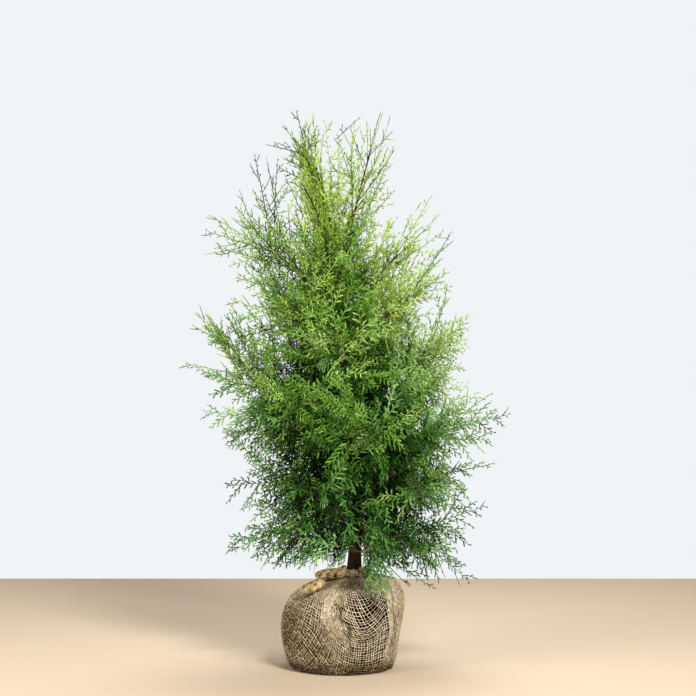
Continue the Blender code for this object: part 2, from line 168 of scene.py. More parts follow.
def sweep(path, face, widths, thicks, sides, relief=None):
    # closed tubes along many lines at once: path (n, rings + 2, 3), face (n, 3) or (n, rings, 3),
    # half widths and half thicknesses (n, rings), and a relief (n, rings, sides).
    # Point = path + (across*width*cos(a) + up*thick*sin(a)) * relief
    along = unit(path[:, 2:] - path[:, :-2])
    if face.ndim == 2:
        face = np.broadcast_to(face[:, None], along.shape)
    across = unit(np.cross(face, along))
    up = np.cross(along, across)
    angle = circle(sides, 0.5)
    ring = (across[:, :, None] * (widths[..., None] * np.cos(angle))[..., None]
            + up[:, :, None] * (thicks[..., None] * np.sin(angle))[..., None])
    if relief is not None:
        ring = ring * relief[..., None]
    ring = ring + path[:, 1:-1, None]
    count, rings = along.shape[:2]
    points = np.concatenate([path[:, :1], ring.reshape(count, rings * sides, 3), path[:, -1:]], axis=1)
    template = spindleTriangles(rings, sides)
    triangles = template[None] + (np.arange(count) * points.shape[1])[:, None, None]
    return points.reshape(-1, 3), triangles.reshape(-1, 3), len(template)


# Plan of the limbs: the source's own rule, with its values

trunk = {
    "foot": Vector((0.030, 0.0, 0.220)),
    "top": Vector((-0.047, 0.006, 1.165)),
    "radius": 0.0165,
    "tipRadius": 0.0030,
    "flare": 0.0055,
    "flareHeight": 0.022,
}
crown = {
    "axisX": 0.008,
    "heights": (0.20, 0.35, 0.60, 0.78, 0.95, 1.10, 1.22, 1.35),
    "reachRight": (0.33, 0.36, 0.42, 0.30, 0.30, 0.28, 0.17, 0.11),
    "reachLeft": (0.24, 0.28, 0.33, 0.31, 0.38, 0.38, 0.24, 0.14),
    "sprayReach": 0.125,
    "footStep": 0.016,
    "bareTiers": 5,
    "bareShare": 0.33,
    "goldenTurn": math.radians(137.5),
    "openFoot": math.radians(58),
    "openTip": math.radians(32),
    "shootFoot": 0.235,
    "shootTip": 0.150,
    "stemClear": 0.10,
    "sag": 0.10,
}
tiers = (
    {"tip": 0.280, "foot": 0.325, "first": 8, "limbs": 4, "launch": 12, "shoots": 5},
    {"tip": 0.420, "foot": 0.375, "first": 36, "limbs": 5, "launch": 30, "shoots": 5},
    {"tip": 0.590, "foot": 0.450, "first": 0, "limbs": 5, "launch": 42, "shoots": 6},
    {"tip": 0.745, "foot": 0.555, "first": 2, "limbs": 4, "launch": 44, "shoots": 6},
    {"tip": 0.880, "foot": 0.670, "first": 46, "limbs": 4, "launch": 56, "shoots": 5},
    {"tip": 1.035, "foot": 0.800, "first": -15, "limbs": 4, "launch": 62, "shoots": 5},
    {"tip": 1.135, "foot": 0.965, "first": 62, "limbs": 2, "launch": 64, "shoots": 5},
)
longArm = {"tier": 3, "limb": 2, "reach": 0.105, "launch": 30, "tip": 0.690}
leaders = {
    "second_leader": {"foot": 0.862, "knee": (0.006, -0.012, 1.020), "tip": (0.073, -0.010, 1.256),
                      "bare": 0.52},
    "leading_shoot": {"foot": 1.155, "knee": (-0.060, 0.004, 1.205), "tip": (-0.097, 0.0, 1.239),
                      "bare": 0.0},
}
leaderShoots = 5
sides = ("right", "back_right", "back", "back_left", "left", "front_left", "front", "front_right")


def chance(limb, item, slot):
    # the source's fixed number from 0 to 1 for each limb, item and slot
    return math.sin(limb * 12.9898 + item * 78.233 + slot * 37.719) * 43758.5453 % 1.0


def trunkAxis(height):
    # the trunk leans left as it rises: x by share^1.5, with a slight wave
    share = (height - trunk["foot"].z) / (trunk["top"].z - trunk["foot"].z)
    lean = trunk["top"].x - trunk["foot"].x
    x = trunk["foot"].x + lean * np.maximum(share, 0) ** 1.5 + 0.006 * np.sin(3 * np.pi * share)
    return x, trunk["top"].y * share + 0.007 * np.sin(2 * np.pi * share)


def trunkRadius(height):
    share = np.clip((height - trunk["foot"].z) / (trunk["top"].z - trunk["foot"].z), 0, 1)
    taper = trunk["radius"] + (trunk["tipRadius"] - trunk["radius"]) * share ** 0.85
    return taper + trunk["flare"] * np.exp(-(height - trunk["foot"].z) / trunk["flareHeight"])


def reachAt(height, azimuth):
    right = np.interp(height, crown["heights"], crown["reachRight"])
    left = np.interp(height, crown["heights"], crown["reachLeft"])
    return left + (right - left) * (1 + np.cos(azimuth)) / 2


def onTrunk(height):
    x, y = trunkAxis(height)
    return Vector((float(x), float(y), height))


def arcPoint(arc, share):
    # a point of a limb's arc through foot, knee and tip, and the way it runs there
    foot, knee, tip = arc
    point = foot * (1 - share) ** 2 + knee * 2 * share * (1 - share) + tip * share ** 2
    return point, ((knee - foot) * (1 - share) + (tip - knee) * share).normalized()


def turned(vector, axis, angle):
    return (vector * math.cos(angle) + axis.cross(vector) * math.sin(angle)
            + axis * axis.dot(vector) * (1 - math.cos(angle)))


def planLimbs():
    limbs = []
    for tier, plan in enumerate(tiers):
        for k in range(plan["limbs"]):
            number = len(limbs)
            sway = 16 * (chance(number, 0, 1) - 0.5)
            azimuth = math.radians(plan["first"] + 360 * k / plan["limbs"] + sway)
            tipHeight = plan["tip"] + 0.05 * (chance(number, 0, 2) - 0.5)
            launch = plan["launch"]
            reach = float(reachAt(tipHeight, azimuth)) * (0.93 + 0.10 * chance(number, 0, 3))
            reach -= crown["sprayReach"]
            if (tier, k) == (longArm["tier"], longArm["limb"]):
                reach, launch, tipHeight = reach + longArm["reach"], longArm["launch"], longArm["tip"]
            out = Vector((math.cos(azimuth), math.sin(azimuth), 0))
            start = out * math.cos(math.radians(launch)) + Vector((0, 0, math.sin(math.radians(launch))))
            foot = onTrunk(plan["foot"] + crown["footStep"] * k)
            tip = Vector((crown["axisX"], 0, tipHeight)) + out * reach
            knee = foot + start * (tip - foot).length / 2
            side = sides[round(math.degrees(azimuth) / 45) % 8]
            limbs.append({"name": f"{tier + 1}_{side}", "zone": tier, "arc": (foot, knee, tip),
                          "bare": crown["bareShare"] if tier < crown["bareTiers"] else 0.0,
                          "shoots": plan["shoots"]})
    for name, plan in leaders.items():
        arc = (onTrunk(plan["foot"]), Vector(plan["knee"]), Vector(plan["tip"]))
        limbs.append({"name": name, "zone": len(tiers), "arc": arc, "bare": plan["bare"],
                      "shoots": leaderShoots})
    for number, limb in enumerate(limbs):
        height = limb["arc"][2].z
        limb["number"] = number
        limb["length"] = (limb["arc"][2] - limb["arc"][0]).length
        limb["size"] = float(np.interp(height, (0.28, 0.6, 1.0, 1.27), (1.0, 1.05, 0.92, 0.72)))
        limb["rise"] = float(np.interp(height, (0.28, 0.42, 0.75, 1.2), (-0.9, -0.2, 0.5, 1.0)))
        limb["twist"] = chance(number, 0, 7)
    return limbs


limbs = planLimbs()
print("limbs planned:", len(limbs))


# Growth: each level springs from the one before, as whole arrays

# the camera, from which the tips on the outline are set too
view = {"place": (0.0157, -3.98, 0.717), "pitch": 0.767, "lens": 85.0, "sensor": 36.0}
growth = {
    "seed": 81,
    "finer": 2,                     # shoots on a limb for each one of the source
    # share of the shoots between the source's own that grow, by tier
    "fillers": (0.2, 0.4, 0.7, 1, 1, 0.7, 0.1, 0.3),
    "fillerLength": (0.60, 1.0),    # length of the shoots between the source's own, as a share
    "fillerOpening": math.radians(16),  # how much wider they stand
    "fillerEnd": 0.85,              # and the share of the limb that they stop at
    "trunkShoots": 96,              # shoots on the trunk itself, inside the crown
    "trunkFrom": 0.29,
    "trunkTo": 1.04,
    "trunkShootReach": (0.50, 0.95),  # as a share of the crown's reach
    "boughShoots": 3,               # short shoots on the bare part of a bough
    "boughShootLength": (0.10, 0.16),
    "lowestTip": 0.180,
    "highestTip": 1.345,
    # the dense body of the crown, as a share of its reach at these heights; only single sprays go further
    "bodyHeights": (0.25, 0.40, 0.60, 0.75, 0.85, 1.00, 1.15, 1.30),
    "bodyReach": (0.62, 0.76, 0.76, 0.67, 0.80, 0.75, 0.57, 0.84),
    "ragged": 0.22,                 # how much less some of its shoots reach
    "leading": ((-0.032, 0.0, 0.980), (-0.088, 0.0, 1.225)),  # the line of the crowded leading shoots
    "leadingShoots": 32,
    "leadingSpread": 0.031,
    "leadingRise": 0.095,
    "shoulderShoots": 52,           # upright shoots inside the outline of the upper half
    "shoulderFrom": 0.62,
    "shoulderTo": 1.14,
    "upturn": 0.26,                 # how far a shoot high in the crown bends up, as a share of its length
    "sag": 0.05,                    # how far one low in it hangs
    "frontSwing": 58,               # degrees that the shoots in front turn across the view, left and right
    "outlineShoot": 0.19,           # usual length of a shoot that ends on the crown's outline
}
# each rule: metres between side shoots, span of the parent that bears them, length as a share of the parent's
# and in metres at least and at most, opening angles, and how each bends, rolls and varies
sideShootRule = {"spacing": 0.052, "first": 0.22, "last": 0.90, "ratio": 0.50, "least": 0.070, "most": 0.140,
                 "openFoot": 50, "openTip": 36, "forward": 0.25, "roll": 1.2, "lift": 0.8, "vary": 0.3,
                 "even": 0.5, "sway": 0.5}
frondRule = {"spacing": 0.0150, "first": 0.06, "last": 0.95, "ratio": 0.54, "least": 0.018, "most": 0.080,
             "openFoot": 56, "openTip": 38, "forward": 0.28, "roll": 0.4, "lift": 0.35, "vary": 0.2,
             "even": 0.7, "sway": 0.45}
branchletRule = {"spacing": 0.0049, "first": 0.10, "last": 0.97, "ratio": 0.40, "least": 0.0055,
                 "most": 0.026, "openFoot": 62, "openTip": 46, "forward": 0.36, "roll": 0.12, "lift": 0.1,
                 "vary": 0.14, "even": 0.85, "sway": 0.16}
shootBranchlets = {**branchletRule, "spacing": 0.0055, "first": 0.35, "last": 0.985, "ratio": 0.14,
                   "least": 0.004, "most": 0.017, "blunt": 0.28}
twigletRule = {"spacing": 0.0048, "first": 0.25, "last": 0.86, "ratio": 0.42, "least": 0.0040, "most": 0.0095,
               "openFoot": 50, "openTip": 44, "forward": 0.25, "roll": 0.2, "lift": 0.15, "vary": 0.2,
               "even": 0.8, "sway": 0.2}
# tables by height: heights, and the value at each
byHeight = {
    "hang": ((0.22, 0.35, 0.6, 0.85, 1.05), (0.20, 0.24, 0.22, 0.10, -0.08)),
    "sideShoots": ((0.25, 0.42, 0.58, 1.0, 1.12), (0.35, 0.65, 1.0, 1.0, 0.6)),
    "open": ((0.28, 0.45, 0.60, 0.85, 1.05, 1.18), (0.32, 0.20, 0.06, 0.14, 0.58, 0.95)),
    "outerOpen": ((0.4, 0.9, 1.1), (0.12, 0.18, 0.35)),
    "slope": ((0.2, 0.35, 0.6, 0.85, 1.05, 1.25), (-20, 0, 22, 46, 62, 72)),
    "bend": ((0.25, 0.4, 0.6, 1.1), (-0.26, 0.02, 0.08, 0.14)),
    # tone: its base, how much brighter the outer sprays are and darker the inner ones, partly for their age
    # and partly as painted light and shade, how much darker those far out in front, how far luck varies it,
    # and its upper end
    "tone": ((0.2, 0.45, 0.7, 0.85, 1.0, 1.3), (0.70, 0.67, 0.88, 0.87, 0.74, 0.52)),
    "ageAndShadeTone": ((0.85, 1.10), (0.95, 0.0)),
    "frontTone": ((0.35, 0.5, 0.65, 0.75), (0, 0.2, 0.2, 0.12)),
    "luck": ((0.9, 1.1), (0.50, 0.54)),
    "mostTone": ((0.45, 0.7, 0.9, 1.1), (0.80, 0.90, 0.94, 0.98)),
}


def metres(*points):
    return [tuple(value / 1000 for value in point) for point in points]


# where sprays end on the crown's outline, in millimetres, from the left foot over the top to the right
# foot: x and z
outlineTips = metres(
    (-214, 233), (-258, 303), (-265, 330), (-248, 381), (-263, 461), (-302, 567), (-314, 601),
    (-302, 645), (-330, 690), (-388, 724), (-318, 812), (-314, 846), (-340, 894), (-314, 1039),
    (-317, 1076), (-302, 1110), (-280, 1114), (-241, 1088), (-200, 1114), (-166, 1127), (-167, 1207),
    (-178, 1228), (-193, 1260), (-126, 1346), (-64, 1345), (6, 1308), (85, 1348), (137, 1325),
    (137, 1282), (129, 1211), (129, 1185), (207, 1146), (234, 1018), (239, 969), (260, 882), (299, 868),
    (313, 847), (291, 820), (287, 746), (357, 645), (383, 628), (383, 566), (339, 504), (331, 434),
    (352, 391), (313, 330), (313, 250), (313, 215), (199, 202),
)
# and where the sprays at the front end: x, y and z
frontTips = metres(
    (55, -150, 345), (-15, -140, 350), (50, -120, 400), (0, -130, 425), (65, -170, 455),
    (-30, -160, 480), (35, -170, 520), (170, -180, 290), (-150, -160, 275), (130, -240, 345),
    (70, -270, 415), (-85, -250, 385), (-130, -220, 320), (20, -300, 490), (-70, -290, 540),
    (90, -300, 580), (-10, -330, 640), (130, -290, 690), (-120, -280, 700), (40, -310, 760),
    (-60, -290, 830), (100, -260, 880), (-130, -240, 930), (10, -260, 980), (32, -90, 355),
    (8, -100, 375), (50, -105, 362), (18, -120, 395), (42, -130, 425), (-20, -110, 400), (72, -120, 385),
    (8, -150, 450), (-200, -100, 800), (-170, -140, 860), (-220, -50, 740), (-140, -190, 780),
    (220, -120, 300), (240, -60, 340),
)
# where the sprays at the back end
backTips = metres(
    (0, 340, 620), (90, 330, 680), (-90, 330, 560), (50, 330, 500), (-160, 290, 660), (170, 280, 600),
    (-50, 300, 780), (120, 270, 860), (-130, 270, 880), (30, 290, 940), (-80, 240, 1020),
    (70, 220, 1060), (200, 230, 450), (-180, 210, 450), (20, 300, 400), (100, 240, 330),
    (-100, 220, 330), (0, 200, 280),
)
# sprays in front of the trunk, then low ones beside its foot, and last the ones over the right of the
# ball: where each leaves the nearest limb, and its tip
crossings = metres(
    (-50, -50, 405), (85, -100, 352), (110, -50, 425), (-20, -110, 372),
    (-60, -60, 450), (80, -130, 400), (120, -60, 470), (-10, -130, 425),
    (-40, -40, 500), (75, -120, 455), (20, 0, 450), (36, -95, 338), (20, 0, 420), (4, -100, 345),
    (90, -30, 380), (0, -80, 335), (-20, -30, 360), (-75, -110, 268), (-40, -20, 350), (-120, -90, 262),
    (0, -30, 370), (-40, -100, 275), (-30, 30, 360), (-90, 70, 250), (0, 30, 350), (-35, 110, 255),
    (50, -30, 360), (115, -100, 262), (60, 20, 360), (150, 60, 250), (50, 30, 360), (85, 120, 250),
    (30, 30, 360), (20, 120, 260), (70, -20, 370), (170, -80, 262), (-60, 0, 340), (-175, -50, 246),
    (-50, 40, 340), (-140, 80, 244), (-30, -60, 350), (-65, -150, 258), (-80, -40, 360), (-190, 10, 262),
    (90, 20, 350), (215, 20, 246), (80, 50, 350), (165, 110, 244), (100, -40, 350), (240, -60, 240),
    (60, -90, 330), (104, -190, 192), (60, -90, 330), (98, -180, 226), (100, -80, 330), (122, -184, 218),
    (80, -100, 330), (94, -200, 235),
)
random = np.random.default_rng(growth["seed"])


def spread(*shape):
    # random numbers from -0.5 to 0.5
    return random.random(shape) - 0.5


def picked(stalks, chosen):
    # these stalks only
    return {key: value[chosen] for key, value in stalks.items()}


def tipOf(stalks):
    return stalks["root"] + stalks["way"] * stalks["length"][:, None] + stalks["bend"]


def stalksFrom(rows):
    # turns a list of stalks into one dictionary of arrays
    return {key: np.array([row[key] for row in rows], dtype=float) for key in rows[0]}


def shootsOf(limb):
    # the source's rule for the shoots, with more between
    rows = []
    number, first = limb["number"], 0.0 if limb["bare"] else crown["stemClear"]
    finer = growth["finer"]
    for item in range(limb["shoots"] * finer):
        j = item / finer
        own = item % finer == 0
        if not own and chance(number, j, 12) > growth["fillers"][limb["zone"]]:
            continue
        local = first + (1 - first) * (j + 0.2 + 0.4 * chance(number, j, 4)) / (limb["shoots"] + 0.4)
        local *= 1 if own else growth["fillerEnd"]
        root, along = arcPoint(limb["arc"], limb["bare"] + (1 - limb["bare"]) * local)
        start = along.orthogonal().normalized()
        out = turned(start, along, crown["goldenTurn"] * j + 2 * math.pi * chance(number, 0, 5))
        opening = crown["openFoot"] + (crown["openTip"] - crown["openFoot"]) * local
        opening += 0 if own else growth["fillerOpening"]
        lift = limb["rise"] * (0.4 if own else 0.15)
        way = along * math.cos(opening) + out * math.sin(opening) + Vector((0, 0, lift))
        way.normalize()
        length = crown["shootFoot"] + (crown["shootTip"] - crown["shootFoot"]) * local
        length *= (0.88 + 0.24 * chance(number, j, 6)) * limb["size"]
        if not own:
            low, high = growth["fillerLength"]
            length *= low + (high - low) * chance(number, j, 9)
        rows.append(shootRow(limb, root, way, length, 0.30 + 0.7 * local))
    root, along = arcPoint(limb["arc"], 0.94)
    end = arcPoint(limb["arc"], 1.0)[1]
    rows.append(shootRow(limb, root, end, crown["sprayReach"] * 1.15 * limb["size"], 1.0))
    return rows


def shootRow(limb, root, way, length, local, bend=None, kept=False):
    rise = limb["rise"]
    if bend is None:
        bend = Vector((0, 0, rise * (growth["upturn"] if rise > 0 else growth["sag"]) * length))
    return {"root": root, "way": way, "length": length, "bend": bend, "zone": limb["zone"], "outer": local,
            "kept": kept}


def rowTo(tip, root, height, local, bend):
    # a kept shoot from the root to a tip, whose bend is given
    run = tip - root - bend
    limb = {"rise": 0, "zone": zoneAt(height)}
    return shootRow(limb, root, run.normalized(), run.length, local, bend, True)


def zoneAt(height):
    return int(np.searchsorted([0.36, 0.48, 0.62, 0.76, 0.91, 1.05], height))


def shootsOnTrunk():
    # shoots on the trunk itself by the same golden turn, from low in the crown to its top
    rows = []
    low, high = growth["trunkShootReach"]
    for k in range(growth["trunkShoots"]):
        share = ((k + 0.5) / growth["trunkShoots"]) ** 0.85
        height = growth["trunkFrom"] + (growth["trunkTo"] - growth["trunkFrom"]) * share
        azimuth = crown["goldenTurn"] * k + 0.6 * chance(90, k, 1)
        rise = math.radians(14 + 50 * share + 16 * chance(90, k, 2))
        length = float(reachAt(height + 0.1, azimuth)) * (low + (high - low) * chance(90, k, 4))
        out = Vector((math.cos(azimuth), math.sin(azimuth), 0))
        way = out * math.cos(rise) + Vector((0, 0, math.sin(rise)))
        limb = {"rise": 1.4 * share - 0.35, "zone": zoneAt(height + 0.06)}
        rows.append(shootRow(limb, onTrunk(height), way, length, 0.3))
    return rows


def shootsOnBough(limb):
    # short inner shoots on the bare part of a bough
    rows = []
    low, high = growth["boughShootLength"]
    for k in range(growth["boughShoots"] if limb["zone"] < crown["bareTiers"] else 0):
        root, along = arcPoint(limb["arc"], limb["bare"] * (k + 0.9) / (growth["boughShoots"] + 0.5))
        start = along.orthogonal().normalized()
        out = turned(start, along, crown["goldenTurn"] * (k + limb["number"]))
        way = (along * 0.62 + out * 0.78 + Vector((0, 0, 0.3))).normalized()
        length = low + (high - low) * chance(limb["number"], k, 11)
        rows.append(shootRow(limb, root, way, length, 0.15))
    return rows


def shootsToOutline():
    # one shoot to every tip on the outline, from the nearest point of a limb behind it
    rows = []
    points = [onTrunk(0.26 + 0.012 * k) for k in range(75)]
    points += [arcPoint(limb["arc"], 0.2 + 0.05 * k)[0] for limb in limbs for k in range(17)]

    def nearest(place):
        return min(points, key=lambda point: (point - place).length)

    eyeX, eyeY, _ = view["place"]
    tips = []
    for k, (x, z) in enumerate(outlineTips):
        y = 0.12 * (chance(70, k, 1) - 0.5)
        tips.append((eyeX + (x - eyeX) * (y - eyeY) / -eyeY, y, z))
    shoulders = []
    low, high = growth["shoulderFrom"], growth["shoulderTo"]
    for k in range(growth["shoulderShoots"]):
        z = low + (high - low) * (k + 0.5) / growth["shoulderShoots"]
        azimuth = math.pi * (k % 2) + 1.5 * (chance(71, k, 1) - 0.5)
        reach = float(reachAt(z, azimuth)) * (0.55 + 0.38 * chance(71, k, 2))
        shoulders.append((crown["axisX"] + reach * math.cos(azimuth), reach * math.sin(azimuth), z))
    plain = len(tips) + len(shoulders)
    for k, (x, y, z) in enumerate(tips + shoulders + frontTips + backTips):
        tip = Vector((x, y if k < plain else 0.94 * y, z))
        swing = math.radians(growth["frontSwing"]) * (-1) ** k * (k >= plain)
        slope = math.radians(float(np.interp(z, *byHeight["slope"])))
        out = Vector((x - crown["axisX"], y, 0)).normalized()
        out = turned(out, Vector((0, 0, 1)), swing)
        way = out * math.cos(slope) + Vector((0, 0, math.sin(slope)))
        root = nearest(tip - way * growth["outlineShoot"])
        bend = Vector((0, 0, (tip - root).length * float(np.interp(z, *byHeight["bend"]))))
        rows.append(rowTo(tip, root, z, 1.0, bend))
    # upright shoots crowded along the leading shoot: foot on the line between its ends, tip above and aside
    low, high = (Vector(end) for end in growth["leading"])
    for k in range(growth["leadingShoots"]):
        foot = low.lerp(high, (k + 0.5) / growth["leadingShoots"])
        turn = crown["goldenTurn"] * k
        out = Vector((math.cos(turn), math.sin(turn), 0))
        tip = foot + out * growth["leadingSpread"] * (0.4 + chance(72, k, 1))
        tip += (high - low).normalized() * growth["leadingRise"] * (0.8 + 0.4 * chance(72, k, 2))
        rows.append(rowTo(tip, nearest(foot), foot.z, 0.8, Vector((0, 0, 0))))
    for foot, tip in zip(crossings[::2], crossings[1::2]):
        root, tip = nearest(Vector(foot)), Vector(tip)
        rows.append(rowTo(tip, root, foot[2], 0.8, Vector((0, 0, -0.30 * (tip - root).length))))
    return rows


def growShoots():
    rows = shootsToOutline() + shootsOnTrunk()
    for limb in limbs:
        rows += shootsOf(limb) + shootsOnBough(limb)
    rows = keepInReach(stalksFrom(rows))
    rows["face"] = faceOf(rows)
    return rows


def faceOf(stalks):
    # the plane of each spray: upright where its shoot grows outward, facing outward where it grows up
    middle = stalks["root"] + stalks["way"] * stalks["length"][:, None] * 0.6
    way = unit(stalks["way"] * stalks["length"][:, None] + stalks["bend"])
    away = unit((middle - [crown["axisX"], 0, 0]) * [1, 1, 0])
    outward = np.sum(way * away, axis=1)[:, None]
    upright = np.cross(way, [0, 0, 1.0]) * np.where(random.random((len(way), 1)) < 0.5, -1, 1)
    face = upright * outward ** 2 + (away - way * outward) * (1 - outward ** 2)
    face = face + 1.1 * spread(*way.shape)
    return unit(face - way * np.sum(face * way, axis=1)[:, None])


clear = {
    "ballX": 0.01, "ballRadius": 0.165, "overBall": 0.236,  # over the ball, and how low foliage hangs there
    "frontX": 0.02, "frontTurn": -58, "frontFar": -0.30, "inFront": 0.252,  # the same in front of the knots
    # the same where sprays hang over the ball's right: middle x, half width, nearest and furthest y
    "strip": (0.098, 0.055, -0.128, -0.25), "inStrip": 0.176,
    "foot": (0.028, 0.020, 0.312),  # the trunk's foot that shows: middle x, half width, top
    "arm": (-0.262, 0.694, 0.27),   # the long arm: x and z of a point, and its slope
    # sky above and below the arm: side, where it begins, and how near and how far from the arm
    "sky": ((1, -0.285, 0.014, 0.060), (-1, -0.335, 0.014, 0.050)),
}


def lowestAt(points):
    # how low foliage may hang: clear of the ball's top and the knots in front of it, lower to the sides
    x, y = points[..., 0], points[..., 1]
    overBall = np.hypot(x - clear["ballX"], y) < clear["ballRadius"]
    turn, far = clear["frontTurn"], clear["frontFar"]
    inFront = (np.degrees(np.arctan2(y, x - clear["frontX"])) < turn) & (y > far)
    middle, half, near, far = clear["strip"]
    hanging = (np.abs(x - middle) < half) & (y < near) & (y > far)
    low = np.where(inFront, clear["inFront"], np.where(overBall, clear["overBall"], growth["lowestTip"]))
    return np.where(hanging, clear["inStrip"], low)


def inGap(points):
    # the trunk's foot shows in front between the lowest fronds, and sky above and below the long arm
    x, y, z = points[..., 0], points[..., 1], points[..., 2]
    armX, armZ, slope = clear["arm"]
    offArm = z - armZ - slope * (armX - x)
    middle, half, top = clear["foot"]
    gap = (np.abs(x - middle) < half) & (y < 0) & (z < top)
    for side, end, low, high in clear["sky"]:
        gap |= (x < end) & (side * offArm > low) & (side * offArm < high)
    return gap


def keepInReach(stalks):
    # shortens each stalk whose tip would pass the crown's reach at its height
    tip = tipOf(stalks)
    middle = np.array([crown["axisX"], 0.0])
    rootOut = np.linalg.norm(stalks["root"][:, :2] - middle, axis=1)
    tipOut = np.linalg.norm(tip[:, :2] - middle, axis=1)
    azimuth = np.arctan2(tip[:, 1], tip[:, 0] - crown["axisX"])
    limit = reachAt(tip[:, 2], azimuth) * np.interp(tip[:, 2], growth["bodyHeights"], growth["bodyReach"])
    limit = limit * (1 - growth["ragged"] * random.random(len(limit)))
    share = np.clip((limit - rootOut) / np.maximum(tipOut - rootOut, 1e-3), 0.4, 1.0)
    share = np.where(tipOut > limit, share, 1.0)
    top = crown["heights"][-1]
    rise = np.maximum(tip[:, 2] - stalks["root"][:, 2], 1e-3)
    share = np.where(tip[:, 2] > top, np.minimum(share, (top - stalks["root"][:, 2]) / rise), share)
    low = lowestAt(tip)
    fall = np.maximum(stalks["root"][:, 2] - tip[:, 2], 1e-3)
    share = np.where(tip[:, 2] < low, np.minimum(share, (stalks["root"][:, 2] - low) / fall), share)
    share = np.where(stalks["kept"] > 0, 1.0, share)
    stalks["length"] = stalks["length"] * share
    stalks["bend"] = stalks["bend"] * share[:, None]
    return stalks


def placeOn(stalks, index, share):
    # point = root + way*length*share + bend*share^2, and the way there
    s = share[:, None]
    reach = stalks["way"][index] * stalks["length"][index][:, None]
    point = stalks["root"][index] + reach * s + stalks["bend"][index] * s ** 2
    return point, unit(reach + 2 * stalks["bend"][index] * s)


def leafShape(share, blunt):
    # how long a side shoot is at this share of its parent: quick to its full length, then tapering
    return np.minimum(1.0, 0.50 + share / 0.36) * (1 - share) ** blunt


def growSides(parents, rule, openness, droop):
    # side shoots left and right in turn along every parent, in the parent's plane
    spacing = rule["spacing"] * (1 + 1.0 * openness)
    span = rule["last"] - rule["first"]
    counts = np.maximum(1, np.round(parents["length"] * span / spacing)).astype(int)
    index = np.repeat(np.arange(len(counts)), counts)
    step = np.arange(len(index)) - np.repeat(np.cumsum(counts) - counts, counts)
    loose = 1 - rule["even"]
    count = len(index)
    share = rule["first"] + span * (step + 0.5 + loose * spread(count)) / counts[index]
    side = np.where((step + index) % 2 == 0, 1.0, -1.0)
    root, along = placeOn(parents, index, share)
    face = unit(parents["face"][index] + rule["roll"] * spread(count, 3))
    across = unit(np.cross(face, along)) * side[:, None]
    opening = np.radians(rule["openFoot"] + (rule["openTip"] - rule["openFoot"]) * share)
    opening = opening * (1 + 0.25 * openness[index]) * (1 + 0.5 * loose * spread(count))
    lift = rule["lift"] * spread(count)
    way = unit(along * np.cos(opening)[:, None] + across * np.sin(opening)[:, None] + face * lift[:, None])
    vary = 1 + rule["vary"] * spread(count) * 2
    length = np.minimum(parents["length"][index] * rule["ratio"], rule["most"]) * (1 - 0.22 * openness[index])
    length = length * leafShape(share, rule.get("blunt", 0.45)) * vary
    bend = (along * rule["forward"] - np.array([0, 0, 1.0]) * droop[index][:, None]) * length[:, None]
    bend = bend + rule["sway"] * spread(count, 3) * length[:, None]
    children = {key: parents[key][index] for key in ("zone", "outer", "kept", "luck", "kind")}
    children.update(root=root, way=way, face=face, length=length, bend=bend)
    tip = tipOf(children)
    keep = (length > rule["least"]) & (tip[:, 2] > lowestAt(tip) - 0.004) & ~inGap(tip)
    return picked(children, keep), index[keep]


def joined(*several):
    return {key: np.concatenate([one[key] for one in several]) for key in several[0]}


def drop(heights):
    # how far a frond or branchlet hangs, as a share of its length, at these heights
    return np.interp(heights, *byHeight["hang"])


shoots = growShoots()
shoots["luck"] = spread(len(shoots["length"]))
shoots["kind"] = spread(len(shoots["length"]))
longer = picked(shoots, shoots["length"] > 0.15)
straight = np.zeros(len(longer["length"]))
sideShoots, _ = growSides(longer, sideShootRule, straight, drop(longer["root"][:, 2]) * 0.5)
sideShoots["luck"] = 0.5 * sideShoots["luck"] + 0.6 * spread(len(sideShoots["length"]))
grows = np.interp(sideShoots["root"][:, 2], *byHeight["sideShoots"])
grows = random.random(len(grows)) < grows
shoots = joined(shoots, picked(sideShoots, grows))
shoots["bend"] = shoots["bend"] + 0.34 * spread(*shoots["way"].shape) * shoots["length"][:, None]
shootTip = tipOf(shoots)
over = np.maximum(shootTip[:, 2] - growth["highestTip"], 0)
shoots["bend"][:, 2] -= over
shootTip[:, 2] -= over
# openness: 1 at the top and on the outermost shoots, 0 low and inside
openness = np.interp(shootTip[:, 2], *byHeight["open"])
low, high = np.array(growth["leading"])
line = low + (high - low) * np.clip((shootTip[:, 2:] - low[2]) / (high[2] - low[2]), 0, 1.5)
crowded = np.exp(-np.sum((shootTip - line) ** 2, axis=1) / 0.045 ** 2) * (shootTip[:, 2] > 0.98)
openness = openness * (1 - crowded)
openness = openness + np.interp(shootTip[:, 2], *byHeight["outerOpen"]) * (shoots["outer"] > 0.85)
openness = np.clip(openness + 0.3 * spread(len(openness)), 0, 1)
droop = drop(shootTip[:, 2])


toneRule = {
    "outward": (0.2, 0.86, 0.82),   # share of the reach: least, most, and where a spray keeps its tone
    "backlitRim": (0.30, 0.74, 0.22),      # painted shade as if backlit: how much darker the rim is, where it begins, and over what share
    "leading": (0.16, -0.07, 0.045, 1.0),  # the leading shoots: how much brighter, middle x, width, height
    "strip": (0.08, 0.262, -0.14, 0.05),  # sprays over the ball's right: the same, top, y and half width
    "right": (0.15, 0.25, 0.5),     # painted light on the upper crown's right and painted shade to its left: the same, the x of its end, and the height
}


